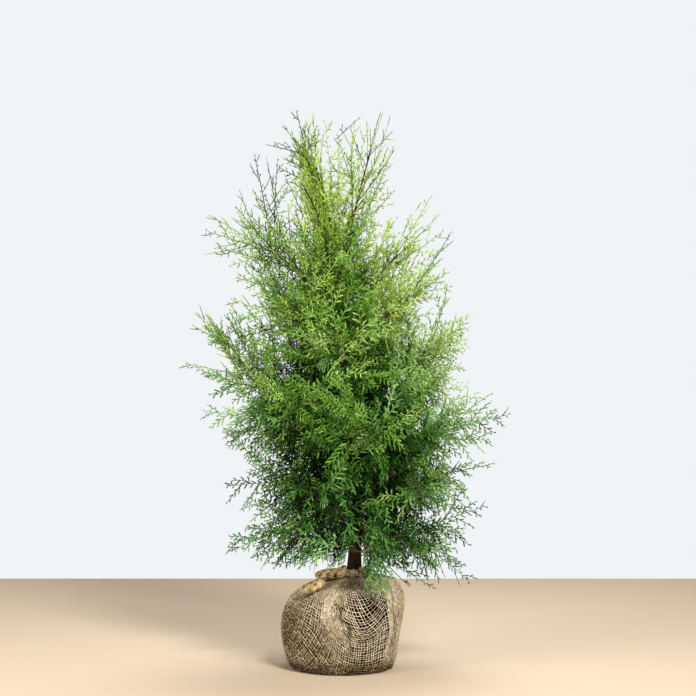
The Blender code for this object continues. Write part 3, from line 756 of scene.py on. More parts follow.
def toneAt(stalks):
    # 0 for the deepest, oldest green, 1 for the brightest tip: by height, by how far out, and by luck; the
    # inner sprays are darker partly for age and partly as painted shade, the outer ones lighter as painted
    # light
    tip = tipOf(stalks)
    away = tip[:, :2] - np.array([crown["axisX"], 0.0])
    outward = np.linalg.norm(away, axis=1) / reachAt(tip[:, 2], np.arctan2(away[:, 1], away[:, 0]))
    height = np.interp(tip[:, 2], *byHeight["tone"])
    low, high, even = toneRule["outward"]
    # painted light and shade: sprays further out are lighter and those inside darker, besides the inner ones
    # being older
    outer = np.interp(tip[:, 2], *byHeight["ageAndShadeTone"]) * (np.clip(outward, low, high) - even)
    # but the outermost ones, seen against the sky, are darker: painted shade as if backlit
    darker, begin, over = toneRule["backlitRim"]
    outer -= darker * np.clip((outward - begin) / over, 0, 1)
    # the crowded leading shoots at the upper left are the brightest
    brighter, middle, width, begin = toneRule["leading"]
    leading = np.exp(-((tip[:, 0] - middle) / width) ** 2) * np.clip((tip[:, 2] - begin) / 0.1, 0, 1)
    much, top, near, half = toneRule["strip"]
    inStrip = np.abs(tip[:, 0] - clear["strip"][0]) < half
    hanging = much * ((tip[:, 2] < top) & (tip[:, 1] < near) & inStrip)
    # painted light and shade: the upper crown lighter to its right and darker to its left, as if lit from the
    # right
    much, aside, begin = toneRule["right"]
    side = much * np.clip(tip[:, 0] / aside, -0.8, 1) * np.clip((tip[:, 2] - begin) / 0.2, 0, 1)
    side -= np.interp(tip[:, 2], *byHeight["frontTone"]) * np.clip((-0.18 - tip[:, 1]) / 0.1, 0, 1)
    luck = stalks["luck"] * np.interp(tip[:, 2], *byHeight["luck"])
    most = np.interp(tip[:, 2], *byHeight["mostTone"])
    return np.minimum(height + outer + side + brighter * leading + hanging + luck, most)


fronds, fromShoot = growSides(shoots, frondRule, openness, droop)
fronds["face"] = faceOf(fronds)
fronds["luck"] = 0.45 * fronds["luck"] + 0.65 * spread(len(fromShoot))
onFronds, fromFrond = growSides(fronds, branchletRule, openness[fromShoot], droop[fromShoot])
onShoots, ofShoot = growSides(shoots, shootBranchlets, openness, droop)
branchlets = joined(onFronds, onShoots)
branchletShoot = np.concatenate([fromShoot[fromFrond], ofShoot])
branchlets["luck"] = branchlets["luck"] + 0.60 * spread(len(branchletShoot))
twiglets, _ = growSides(branchlets, twigletRule, openness[branchletShoot] * 0.5, droop[branchletShoot])
print("metres of shoots and of fronds:", shoots["length"].sum(), fronds["length"].sum())
for stalks in (shoots, fronds, branchlets, twiglets):
    stalks["tone"] = toneAt(stalks)
print("shoots, fronds, branchlets, twiglets:", len(shoots["length"]), len(fronds["length"]),
      len(branchlets["length"]), len(twiglets["length"]))


def spindles(stalks, stations, halfWidth, thickShare, sideCount, span=(0.0, 1.0)):
    # each stalk as a slim closed spindle; stations are pairs of share along and share of the width
    count = len(stalks["length"])
    shares = span[0] + (span[1] - span[0]) * np.array([0.0] + [s for s, _ in stations] + [1.0])
    reach = stalks["way"] * stalks["length"][:, None]
    path = (stalks["root"][:, None] + reach[:, None] * shares[None, :, None]
            + stalks["bend"][:, None] * (shares ** 2)[None, :, None])
    halfWidth = np.broadcast_to(halfWidth, (count,))
    widths = halfWidth[:, None] * np.array([w for _, w in stations])[None]
    return sweep(path, stalks["face"], widths, widths * thickShare, sideCount)


# foliage from old inner green to young tips, in shades that also carry painted shade inside the crown and
# painted light on its outer sprays: bluish low in the crown, yellower in the middle and at the top
greens = {
    "thujaSprayLow": ("#081a04", "#14350a", "#2a5915", "#477d2b", "#6c9f4e", "#8ab964", "#a8d07f"),
    "thujaSprayMiddle": ("#0f2205", "#22450c", "#3b6c15", "#5e9027", "#7eab40", "#9cc35c", "#bad984"),
    "thujaSprayHigh": ("#1c2d0a", "#375311", "#587b1e", "#7fa12c", "#9ab842", "#b1ca59", "#c8da82"),
}
foliageMaterials = [
    newMaterial(f"{name}{k + 1}", {"Base Color": linear(colour), "Roughness": 0.42, "IOR": 1.45,
                                   "Specular IOR Level": min(0.60, 0.10 + 0.13 * k)})[0]
    for name, colours in greens.items() for k, colour in enumerate(colours)]


def slotOf(stalks):
    # the shade by tone, and the yellower rows more and more often with height
    shades = len(foliageMaterials) // len(greens)
    height = stalks["root"][:, 2]
    height = height + 0.60 * stalks["kind"] * np.interp(height, (0.35, 0.6, 0.85, 1.1), (0.4, 1.0, 0.9, 0.4))
    row = (height > 0.56).astype(int) + (height > 0.99)
    return np.clip((stalks["tone"] * shades).astype(int), 0, shades - 1) + shades * row


zoneNodes = {zone: [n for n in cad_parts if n.startswith(f"foliage_{zone + 1}_")]
             for zone in range(len(tiers))}
zoneNodes[len(tiers)] = ["foliage_" + name for name in leaders]


def dealPieces(name, stalks, mesh, most=180000):
    # joins the spindles of each zone into pieces that stay under the given number of triangles
    points, triangles, each = mesh
    perItem = points.shape[0] // len(stalks["length"])
    points = points.reshape(-1, perItem, 3)
    triangles = triangles.reshape(-1, each, 3) - (np.arange(len(points)) * perItem)[:, None, None]
    slots = slotOf(stalks)
    pieces = []
    for zone in np.unique(stalks["zone"]).astype(int):
        chosen = np.nonzero(stalks["zone"] == zone)[0]
        shares = max(1, math.ceil(len(chosen) * each / most))
        for part, rows in enumerate(np.array_split(chosen, shares)):
            local = triangles[rows] + (np.arange(len(rows)) * perItem)[:, None, None]
            piece = addPiece(f"{name}_{zone + 1}_{part + 1}", points[rows].reshape(-1, 3), local,
                             foliageMaterials, np.repeat(slots[rows], each), smooth=False)
            mount(piece, "foliage_high" if zone >= 4 else "foliage_low", *zoneNodes[zone])
            pieces.append(piece)
    return pieces


def leafWidth(stalks):
    # half width of a branchlet: broad and flat low in the crown, slim at the top
    return np.interp(stalks["root"][:, 2], (0.5, 1.1), (0.0021, 0.0018))


# the longer branchlets bend at two rings, the shorter ones and the twiglets at one
long = branchlets["length"] > 0.0105
tips = joined(picked(branchlets, ~long), twiglets)
branchlets = picked(branchlets, long)
branchletMesh = spindles(branchlets, ((0.12, 0.9), (0.76, 1.0)), leafWidth(branchlets), 0.5, 3)
tipMesh = spindles(tips, ((0.62, 1.0),), leafWidth(tips), 0.5, 3)
leafPieces = dealPieces("branchlets", branchlets, branchletMesh) + dealPieces("branchlet_tips", tips, tipMesh)
print("foliage triangles:", sum(len(p.data.polygons) for p in leafPieces))

stemStations = ((0.02, 1.0), (0.3, 0.9), (0.6, 0.75), (0.9, 0.6))
innerMesh = spindles(shoots, stemStations, 0.0013, 0.9, 4, span=(0.0, 0.36))
outerMesh = spindles(shoots, stemStations, 0.00125, 0.9, 4, span=(0.33, 1.0))
frondMesh = spindles(fronds, ((0.05, 1.0), (0.4, 1.0), (0.85, 1.0)), 0.0012, 0.8, 3)
dealPieces("fronds", {**fronds, "tone": fronds["tone"] - 0.08}, frondMesh)
dealPieces("shoots", {**shoots, "tone": shoots["tone"] - 0.05}, outerMesh)

# Young thuja bark, brown-red and dull, split into thin upright fibres that the eye reads as fine dark lines
barkFinish = {"colour": "#4b3728", "dark": "#17100b", "fibre": 0.0035, "bump": 0.5}
bark, tree, shader = newMaterial("thujaBark", {"Roughness": 0.88, "Specular IOR Level": 0.2})
place = addNode(tree, "TexCoord")
drawn = addNode(tree, "Mapping", {"Scale": (1.0, 1.0, 0.16)}, {"Vector": place.outputs["Object"]})
fibres = addNode(tree, "TexNoise", {"Scale": 1 / barkFinish["fibre"], "Detail": 4.0, "Roughness": 0.65},
                 {"Vector": drawn.outputs["Vector"]})
tint = addRamp(tree, fibres.outputs["Fac"], (0.36, barkFinish["dark"]), (0.66, barkFinish["colour"]))
bump = addNode(tree, "Bump", {"Strength": barkFinish["bump"], "Distance": 0.0008},
               {"Height": fibres.outputs["Fac"]})
tree.links.new(tint, shader.inputs["Base Color"])
tree.links.new(bump.outputs["Normal"], shader.inputs["Normal"])
youngBark, _, _ = newMaterial("thujaYoungBark", {"Base Color": linear("#4a3623"), "Roughness": 0.8,
                                                 "Specular IOR Level": 0.25})

trunkMesh = {"rings": 230, "sides": 72, "relief": 0.075}
boughShape = {"radius": 0.0052, "tipRadius": 0.0031, "massTip": 0.0013, "rings": 36, "sides": 12,
              "relief": 0.06}


def fibreRelief(angle, along, seed):
    # fine upright ridges: 1 + the sum of |sin| waves round the limb that wander as they rise
    waves = ((7, 9.0, 0.9, 0.45), (13, 15.0, 0.7, 0.32), (23, 27.0, 0.5, 0.23))
    return sum(
        size * (0.5 - np.abs(np.sin(0.5 * turns * angle + wander * np.sin(rate * along + seed + turns))))
        for turns, rate, wander, size in waves)


def growTrunk():
    rings, count = trunkMesh["rings"], trunkMesh["sides"]
    heights = np.linspace(trunk["foot"].z - 0.006, trunk["top"].z, rings + 2)
    x, y = trunkAxis(heights)
    path = np.stack([x, y, heights], axis=-1)[None]
    radius = trunkRadius(heights[1:-1])[None]
    angle = circle(count, 0.5)
    relief = 1 + trunkMesh["relief"] * fibreRelief(angle[None, :], heights[1:-1, None], 2.0)
    points, triangles, _ = sweep(path, np.array([[0.0, 1.0, 0.0]]), radius, radius, count, relief[None])
    return addPiece("trunk", points, triangles, [bark])


def growBoughs():
    # every limb from the trunk to its tip, as one tapering tube through its arc
    rings, count = boughShape["rings"], boughShape["sides"]
    shares = np.linspace(0, 1, rings + 2)
    arcs = np.array([[list(p) for p in limb["arc"]] for limb in limbs])
    s = shares[None, :, None]
    path = arcs[:, 0:1] * (1 - s) ** 2 + arcs[:, 1:2] * 2 * s * (1 - s) + arcs[:, 2:3] * s ** 2
    radius = []
    for limb in limbs:
        girth = 0.75 + 0.9 * limb["length"]
        foot, end = girth * boughShape["radius"], 0.9 * girth * boughShape["tipRadius"]
        bare = limb["bare"]
        known = ((0, foot), (bare, end), (1, boughShape["massTip"])) if bare else ((0, 0.0024), (1, 0.0013))
        radius.append(np.interp(shares[1:-1], [a for a, _ in known], [b for _, b in known]))
    radius = np.array(radius)
    angle = circle(count, 0.5)
    relief = 1 + boughShape["relief"] * fibreRelief(angle[None, None], 1.3 * shares[None, 1:-1, None],
                                                    np.arange(len(limbs))[:, None, None])
    face = np.tile(np.array([[0.02, 0.03, 1.0]]), (len(limbs), 1))
    points, triangles, _ = sweep(path, face, radius, radius, count, relief)
    return addPiece("boughs", points, triangles, [bark])


mount(growTrunk(), "bark", "stem")
mount(growBoughs(), "bark", *[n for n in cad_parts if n.startswith("bough_")])
twigPiece = addPiece("twigs", innerMesh[0], innerMesh[1], [youngBark])
mount(twigPiece, "bark", *[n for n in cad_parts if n.startswith("foliage_")])
print("trunk, boughs and twigs made")


# Root ball: a square of hessian laid under the ball, drawn up round it and tied at the trunk

ball = {
    "outline": ((0.114, 0.000), (0.123, 0.007), (0.134, 0.030), (0.142, 0.068), (0.147, 0.110),
                (0.147, 0.145), (0.139, 0.174), (0.119, 0.197), (0.086, 0.211), (0.046, 0.220)),
    "pleats": 9, "pleatDepth": 0.022, "lean": 0.055,
    "round": 0.016,         # length over which the outline's corners are rounded
    "neck": 0.040,          # the cloth goes under the collar here
    "slack": 0.062,         # how much nearer the cloth lies at the right, as a share
}
cloth = {
    "pitch": 0.0058,        # 5.8 mm between threads
    "thread": 0.00100,      # half width of a thread
    "crimp": 0.0008,        # how far a thread goes over and under
    "face": -60,            # azimuth at which one side of the square is drawn straight up
    "twist": -58,           # how far the cloth is twisted between half way up and the tie
    "from": 0.106,          # the threads begin here, measured along the cloth from the ball's foot
    "end": 0.004,           # and stop this far below the neck
    "lift": 0.0013,         # how far they lie above the ball's surface
    "openSide": -64,        # azimuth of the middle of the open side, where the cloth lies single
    "twistFrom": 0.20,      # where along the cloth the twist begins
    "drawFrom": 0.12,       # and the drawing together
    "window": (-0.029, 0.264),  # middle of the open patch on the flat cloth: how far aside and how far up
    "windowSize": 0.050,
    "stretch": 0.42,        # how much wider the threads stand apart there
    "middle": -74,          # azimuth from which the rows climb to both sides
    "climb": (0.24, 0.14),  # and how steeply, to the right and to the left
    "climbEnd": (0.42, 0.7),  # how far round they climb, in radians
    "draw": (0.15, 1.5),    # how much of the drawn angle is taken where the drawing begins, and how it grows
    # angle on the flat cloth, and the angle on the ball that it is drawn to: open at each side of the square,
    # gathered at its corners
    "drawn": ((0, 0), (12, 27), (26, 41), (38, 50), (50, 68), (62, 91), (75, 115), (90, 138), (105, 156),
              (130, 172), (180, 197), (225, 233), (270, 270), (315, 307), (348, 333), (360, 360)),
}
# darker and paler patches of the cloth, the one at -88 painted shadow under the collar and the pale one at
# -32 painted light on the right: azimuth, height, how wide in degrees, how high, and how much lighter
patchesAndPaintedLight = (
    (-155, 0.100, 23, 0.042, -1.3), (-88, 0.206, 24, 0.010, -1.8), (-120, 0.060, 16, 0.030, -0.5),
    (-104, 0.155, 9, 0.030, 0.7), (-92, 0.115, 8, 0.030, 0.6), (-32, 0.110, 15, 0.080, 0.8),
    (-150, 0.185, 20, 0.020, 0.4),
)
# folds: azimuth and height at one end and at the other, how far each stands out, and its half width
folds = (
    (-108, 0.192, -87, 0.050, 0.0075, 0.010), (-101, 0.168, -84, 0.112, -0.0095, 0.0050),
    (-48, 0.205, -40, 0.030, 0.0045, 0.008), (-36, 0.205, -27, 0.060, -0.0045, 0.006),
    (-27, 0.205, -17, 0.020, 0.0038, 0.008), (-8, 0.205, -3, 0.030, 0.0025, 0.009),
    (22, 0.205, 30, 0.040, 0.0050, 0.010), (61, 0.205, 52, 0.030, 0.0050, 0.009),
    (96, 0.205, 90, 0.050, -0.0040, 0.007), (121, 0.205, 130, 0.030, 0.0050, 0.009),
    (165, 0.205, 171, 0.040, 0.0045, 0.010), (203, 0.200, 198, 0.060, 0.0045, 0.010),
    (-132, 0.200, -140, 0.100, 0.0035, 0.008),
)


def ballProfile():
    # radius and height along the ball's own outline from the middle of its underside to its neck
    known = np.array([(0.0, 0.0)] + list(ball["outline"]) + [(ball["neck"] - 0.012, 0.2215)])
    run = np.concatenate([[0], np.cumsum(np.linalg.norm(np.diff(known, axis=0), axis=1))])
    arc = np.linspace(0, run[-1], 1600)
    window = max(3, int(ball["round"] / (arc[1] - arc[0])))
    shape = np.hanning(window + 2)[1:-1]
    shape /= shape.sum()
    columns = []
    for k in range(2):
        line = np.interp(arc, run, known[:, k])
        ahead, beyond = 2 * line[0] - line[window:0:-1], 2 * line[-1] - line[-2:-window - 2:-1]
        padded = np.concatenate([ahead, line, beyond])
        columns.append(np.convolve(padded, shape, "same")[window:window + len(line)])
    radius, height = columns
    return arc, radius, np.maximum(height, 0.0)


profileArc, profileRadius, profileHeight = ballProfile()


def foldsAt(azimuth, height, radius):
    # the folds' depth: each is a ridge exp(-(distance/width)^2) along its own slanting line
    out = np.zeros_like(azimuth)
    for a0, z0, a1, z1, depth, wide in folds:
        share = np.clip((height - z0) / (z1 - z0), -0.3, 1.3)
        line = np.radians(a0 + (a1 - a0) * share) + 0.05 * np.sin(9 * share + a0)
        apart = wrapped(azimuth - line)
        fade = np.clip(1.15 - np.abs(share - 0.5) * 1.15, 0, 1) ** 0.7
        out += depth * fade * np.exp(-(apart * radius / wide) ** 2)
    return out


def onBall(arc, azimuth):
    # the cloth's surface by the source's own rule for the ball, with the folds added
    radius = np.interp(arc, profileArc, profileRadius)
    height = np.interp(arc, profileArc, profileHeight)
    share = height / trunk["foot"].z
    middle = trunk["foot"].x * share ** 3
    pleat = ball["pleatDepth"] * share ** 2 * (1 - np.minimum(share, 1) ** 12)
    pleat = pleat * np.cos(ball["pleats"] * azimuth + 1)
    lean = ball["lean"] * share * (1 - np.minimum(share, 1) ** 16)
    pleat = pleat - ball["slack"] * np.clip(np.cos(azimuth), 0, 1) * np.clip(height / 0.06, 0, 1)
    reach = radius * (1 + pleat) + foldsAt(azimuth, height, radius) * np.clip(radius / 0.06, 0, 1)
    return np.stack([middle + reach * np.cos(azimuth), reach * np.sin(azimuth),
                     height * (1 + lean * np.cos(azimuth))], axis=-1)


def ballNormal(arc, azimuth):
    step = 0.0015
    rise = onBall(arc + step, azimuth) - onBall(arc - step, azimuth)
    turn = onBall(arc, azimuth + 0.012) - onBall(arc, azimuth - 0.012)
    return unit(np.cross(turn, rise))


def clothTurn(arc):
    # azimuth of the cloth's first side: turned by the twist in the upper half as the cloth rises to the tie
    share = np.clip((arc - cloth["twistFrom"]) / (profileArc[-1] - cloth["twistFrom"]), 0, 1)
    return np.radians(cloth["face"] + cloth["twist"] * share)


def drawnTable():
    # the table of drawn angles, rounded over 18 degrees and repeated past both ends
    flat, onIt = np.radians(np.array(cloth["drawn"], float)).T
    fine = np.linspace(-np.pi, 3 * np.pi, 1441)
    turns = np.floor(fine / (2 * np.pi))
    drawn = np.interp(fine - turns * 2 * np.pi, flat, onIt) + turns * 2 * np.pi
    shape = np.hanning(39)[1:-1] / np.hanning(39).sum()
    smooth = np.convolve(np.pad(drawn - fine, 18, mode="edge"), shape, "valid") + fine
    return fine, smooth


flatAngle, ballAngle = drawnTable()


def fromCloth(u, v):
    # from a place on the flat square to arc and azimuth on the ball, which run clockwise from the open side;
    # the rows hang lowest at one azimuth and climb with the square of the distance from it
    side, rise = cloth["window"]
    apart = np.hypot(u - rise, v - side) / cloth["windowSize"]
    stretch = 1 + cloth["stretch"] * np.exp(-apart ** 2)
    u, v = rise + (u - rise) * stretch, side + (v - side) * stretch
    arc = np.hypot(u, v)
    angle = wrapped(np.arctan2(v, u))
    share = np.clip((arc - cloth["drawFrom"]) / (profileArc[-1] - cloth["drawFrom"]), 0, 1)
    drawn = np.interp(angle, flatAngle, ballAngle)
    begin, grows = cloth["draw"]
    azimuth = clothTurn(arc) - angle - (drawn - angle) * (begin + grows * share)
    apart = wrapped(azimuth - np.radians(cloth["middle"]))
    right, left = cloth["climb"]
    endRight, endLeft = cloth["climbEnd"]
    climb = right * np.clip(apart, 0, endRight) ** 2 + left * np.clip(-apart, 0, endLeft) ** 2
    return arc + climb * np.sin(np.pi * share) ** 2 * np.clip(1.6 - np.abs(apart), 0, 1), azimuth


def fromWindow(azimuth):
    # how far round from the middle of the open side, where the cloth lies single, in radians
    return np.abs(wrapped(azimuth - np.radians(cloth["openSide"])))


# Hessian: plain-woven jute, pale straw threads, matt and hairy, darker low on the ball with painted shadow
# where it meets the floor
# five tones of thread, dealt by a tone that holds painted light and shade besides the cloth's own variation
jute = ("#554837", "#827154", "#ad9b7d", "#cfc1a4", "#ebe1cc")
juteMaterials = [newMaterial(f"juteThread{k + 1}", {"Base Color": linear(colour), "Roughness": 0.92,
                                                   "Specular IOR Level": 0.15})[0]
                 for k, colour in enumerate(jute)]


def runsOf(shown):
    # first and last index of every run of shown points, three points long or more
    edges = np.flatnonzero(np.diff(np.concatenate([[0], shown.astype(int), [0]])))
    return [(a, b) for a, b in zip(edges[::2], edges[1::2]) if b - a > 3]


def patchesAndPaintedLightAt(azimuth, height):
    # how much lighter the cloth is: the sum of the patches, painted shadow and light among them, each fading
    # as exp(-distance^2)
    patchSum = np.zeros_like(azimuth)
    for turn, middle, wide, high, much in patchesAndPaintedLight:
        apart = wrapped(azimuth - math.radians(turn)) / math.radians(wide)
        patchSum += much * np.exp(-apart ** 2 - ((height - middle) / high) ** 2)
    return patchSum


def weaveThreads(way):
    # every thread of one set as closed tubes; a point at each crossing goes over or under by the crimp
    pitch, end = cloth["pitch"], profileArc[-1] - cloth["end"]
    half = int(end / pitch)
    points, triangles, slots, start = [], [], [], 0
    steps = np.arange(-half, half + 1)
    u = (steps + 0.5) * pitch
    for k in range(-half, half + 1):
        v = (k + 0.5) * pitch + 0.0009 * np.sin(u * 31 + 5.1 * k + way) + 0.0006 * np.sin(u * 83 + 2.3 * k)
        arc, azimuth = fromCloth(u, v) if way == 0 else fromCloth(v, u)
        shown = (arc > cloth["from"]) & (arc < end)
        normal = ballNormal(arc, azimuth)
        over = cloth["crimp"] * (-1.0) ** (steps + k + way)
        line = onBall(arc, azimuth) + normal * (cloth["lift"] + over)[:, None]
        line[:, 2] = np.maximum(line[:, 2], 0.0011)
        height = line[:, 2]
        thick = 1 + 0.28 * np.sin(u * 57 + 3.7 * k) + 0.2 * np.sin(u * 131 + k)
        single = np.clip(1.6 - fromWindow(azimuth) / 0.28, 0, 1) * (arc > 0.15)
        thick = thick * (1 - 0.22 * single)
        # painted shade in the hollows of the folds
        foldHollow = np.clip(-foldsAt(azimuth, height, np.interp(arc, profileArc, profileRadius)) / 0.004, 0, 1)
        patch = np.sin(6 * azimuth + 40 * arc) * np.sin(3 * azimuth - 55 * arc + 1)
        # painted shadow: darker under the collar near the tie and at the ball's foot, with the patches'
        # painted shadow and light
        tone = (2.0 + patchesAndPaintedLightAt(azimuth, height) + 0.45 * patch
                + 0.25 * np.sin(1.7 * k + way) * math.cos(0.61 * k) + 0.2 * np.sin(u * 23 + k)
                + 0.8 * np.sin(u * 371 + 9.1 * k * k) + 0.8 * single - 1.6 * foldHollow
                - 1.6 * np.clip((arc - 0.365) / 0.04, 0, 1) - 2.4 * np.clip(1 - height / 0.035, 0, 1)
                - 0.15 * np.clip(fromWindow(azimuth) - 0.5, 0, 1) + 0.4)
        ring = np.clip(np.round(tone), 0, len(jute) - 1).astype(int)
        for first, last in runsOf(shown):
            inner = slice(first + 1, last - 1)
            width = cloth["thread"] * thick[inner][None]
            made, faces, _ = sweep(line[None, first:last], normal[None, inner], width, width * 0.72, 4)
            points.append(made)
            triangles.append(faces + start)
            start += len(made)
            tones = ring[inner]
            between = np.tile(np.repeat(tones[:-1], 4), 2)
            slots.append(np.concatenate([[tones[0]] * 4, between, [tones[-1]] * 4]))
    return np.concatenate(points), np.concatenate(triangles), np.concatenate(slots)


# Second layer under the threads: the doubled cloth and dark soil, near black with painted shadow at the open
# side, seen only through the gaps
under, tree, shader = newMaterial("soilAndShadowHessian", {"Roughness": 0.95, "Specular IOR Level": 0.1})
grain = addNode(tree, "TexNoise", {"Scale": 240.0, "Detail": 3.0},
                {"Vector": addNode(tree, "TexCoord").outputs["Object"]})
tint = shadedColour(tree, grain.outputs["Fac"], 0.35, -0.17, (0.1, "#0a0705"), (0.9, "#7c6a4c"))
tree.links.new(tint, shader.inputs["Base Color"])


soilLayer = {"rows": 130, "columns": 240, "depth": 0.0020, "top": 0.2225}


def makeUnderlayer():
    rows, columns = soilLayer["rows"], soilLayer["columns"]
    arc = np.linspace(0.0008, profileArc[-1], rows)[:, None] * np.ones(columns)
    azimuth = np.ones(rows)[:, None] * circle(columns)
    grid = onBall(arc, azimuth) - ballNormal(arc, azimuth) * soilLayer["depth"]
    grid[..., 2] = np.maximum(grid[..., 2], 0.0)
    grid[0, :, :] = (0.0, 0.0, 0.0)
    ends = np.array([[0.0, 0.0, 0.0], [trunk["foot"].x, 0.0, soilLayer["top"]]])
    points = np.concatenate([grid.reshape(-1, 3)[columns:], ends])
    last = (rows - 2) * columns
    foot, top = fan(0, columns, last + columns, flip=True), fan(last, columns, last + columns + 1)
    triangles = np.concatenate([gridTriangles(rows - 1, columns), foot, top])
    piece = addPiece("soil_and_shadow_ball", points, triangles, [under])
    # lighter where the cloth lies double, which is everywhere but at the open side at the front right, where
    # it is near black: dark soil and painted shadow
    shade = np.clip((fromWindow(azimuth) - 0.28) / 0.3, 0, 1) * 0.26 + 0.02
    return addShade(piece, np.concatenate([shade.reshape(-1)[columns:], [0.3, 0.3]]))


ballPieces = [makeUnderlayer()]
for way, name in enumerate(("warp_threads", "weft_threads")):
    points, triangles, slots = weaveThreads(way)
    ballPieces.append(addPiece(name, points, triangles, juteMaterials, slots))
for piece in ballPieces:
    mount(piece, "hessian", "root_ball")
print("root ball woven:", [len(p.data.polygons) for p in ballPieces])


# Gathered hessian at the tie: the same cloth crumpled tight and warmer in colour
gathers = {"radius": 0.0325, "middle": 0.2290, "halfWidth": 0.0115, "halfHeight": 0.0110, "folds": 0.46,
           "rows": 44, "columns": 300}
creaseRule = {"depth": 0.10, "width": 0.07, "slant": 0.16, "rows": 90, "columns": 96}
knots = {
    "cloth_knot_upper": {"node": "cloth_tail_upper", "middle": (-0.025, -0.043, 0.229),
                         "half": (0.040, 0.021, 0.0165), "turn": 4, "seed": 1.0,
                         "creases": (0.22, 0.47, 0.71)},
    "cloth_knot_lower": {"node": "cloth_tail_lower", "middle": (-0.068, -0.088, 0.205),
                         "half": (0.034, 0.021, 0.0165), "turn": 22, "seed": 4.0,
                         "creases": (0.30, 0.62)},
}
gatheredCloth, tree, shader = newMaterial("gatheredHessian", {"Roughness": 0.93, "Specular IOR Level": 0.15})
place = addNode(tree, "TexCoord")
crumple = addNode(tree, "TexNoise", {"Scale": 240.0, "Detail": 4.0, "Roughness": 0.7},
                  {"Vector": place.outputs["Object"]})
tint = shadedColour(tree, crumple.outputs["Fac"], 1.5, -0.75,
                    (0.10, "#3a2c14"), (0.45, "#9b8253"), (0.85, "#dfcca0"))
weave = addNode(tree, "TexVoronoi", {"Scale": 380.0}, {"Vector": place.outputs["Object"]})
bump = addNode(tree, "Bump", {"Strength": 0.7, "Distance": 0.0012}, {"Height": weave.outputs["Distance"]})
tree.links.new(tint, shader.inputs["Base Color"])
tree.links.new(bump.outputs["Normal"], shader.inputs["Normal"])


def crumpled(x, y, z, seed):
    # folds of crumpled cloth: sharp ridges 1 - 2|sin| in many directions, each pushed about by the one before
    draw = np.random.default_rng(int(seed))
    total, push = np.zeros_like(x), np.zeros_like(x)
    rates = np.geomspace(130, 900, 9)
    for rate in rates:
        way = unit(draw.normal(size=3))
        wave = np.sin(0.5 * rate * (x * way[0] + y * way[1] + z * way[2]) + 1.1 * push + 6 * draw.random())
        push = wave
        total += (1 - 2 * np.abs(wave)) * (rates[0] / rate) ** 0.35
    return total / 4


def makeCollar():
    # a ring of gathered cloth: point = (radius + w*cos(a)) round the trunk, height + h*sin(a), with folds
    rows, columns = gathers["rows"], gathers["columns"]
    a = circle(rows)[:, None] * np.ones(columns)
    t = np.ones(rows)[:, None] * circle(columns)
    fold = (np.abs(np.sin(7.5 * t + 1.6 * np.sin(2 * t) + 0.9 * a))
            + 0.6 * np.abs(np.sin(18 * t + 2.1 * np.sin(3 * t) - 0.7 * a)))
    size = 0.80 + gathers["folds"] * (fold - 0.85)
    out = gathers["radius"] + gathers["halfWidth"] * size * np.cos(a)
    lumps = 1 + 0.22 * np.sin(5 * t + 1) + 0.12 * np.sin(11 * t)
    z = gathers["middle"] + gathers["halfHeight"] * size * np.sin(a) * lumps
    x, y = trunk["foot"].x + out * np.cos(t), out * np.sin(t)
    points = np.stack([x, y, z], axis=-1)
    faces = gridTriangles(rows + 1, columns) % (rows * columns)
    # painted shade in the collar's creases and painted highlight on its ridges
    return addShade(addPiece("cloth_collar_gathered", points, faces, [gatheredCloth]), 0.15 + 0.42 * fold)


def makeKnot(name, shape):
    # a rolled knot of cloth: a blunt ellipsoid, rings from end to end, with folds and deep creases pressed in
    rows, columns = creaseRule["rows"], creaseRule["columns"]
    share = (np.arange(rows) + 0.5) / rows
    along = -np.cos(np.pi * share)[:, None] * np.ones(columns)
    angle = np.ones(rows)[:, None] * circle(columns)
    girth = (1 - np.abs(along) ** 2.6) ** 0.5
    y, z = girth * np.cos(angle), girth * np.sin(angle)
    half = shape["half"]
    size = 0.87 + 0.13 * crumpled(along * half[0], y * half[1], z * half[2], shape["seed"])
    for crease in shape["creases"]:
        apart = along - (2 * crease - 1) + creaseRule["slant"] * np.sin(angle * 2 + shape["seed"])
        size = size - creaseRule["depth"] * np.exp(-(apart / creaseRule["width"]) ** 2)
    local = np.stack([along * half[0] * (0.90 + 0.1 * size), y * half[1] * size, z * half[2] * size], axis=-1)
    ends = np.array([[-half[0] * 0.98, 0, 0], [half[0] * 0.98, 0, 0]])
    flat = np.concatenate([local.reshape(-1, 3), ends])
    turn = math.radians(shape["turn"])
    x = flat[:, 0] * math.cos(turn) - flat[:, 2] * math.sin(turn)
    up = flat[:, 0] * math.sin(turn) + flat[:, 2] * math.cos(turn)
    points = np.stack([x, flat[:, 1], up], axis=-1) + np.array(shape["middle"])
    last, total = (rows - 1) * columns, rows * columns
    foot, tip = fan(0, columns, total), fan(last, columns, total + 1, flip=True)
    triangles = np.concatenate([gridTriangles(rows, columns)[:, ::-1], foot, tip])
    piece = addPiece(name, points, triangles, [gatheredCloth])
    # painted shade in the knot's pits and creases and painted highlight on its lumps
    return addShade(piece, np.append(0.80 + 2.6 * (size - 0.87), [0.5, 0.5]))


# the twine of the tie: turns round the collar and two loose loops in front of it, each with its azimuth,
# how far it hangs and how far it leans
twineRule = {"half": 0.0007, "turns": 2.96, "points": 122, "drop": 0.0045, "rise": 0.0030,
             "loops": ((-96, 0.030, 0.010), (-72, 0.024, -0.012))}


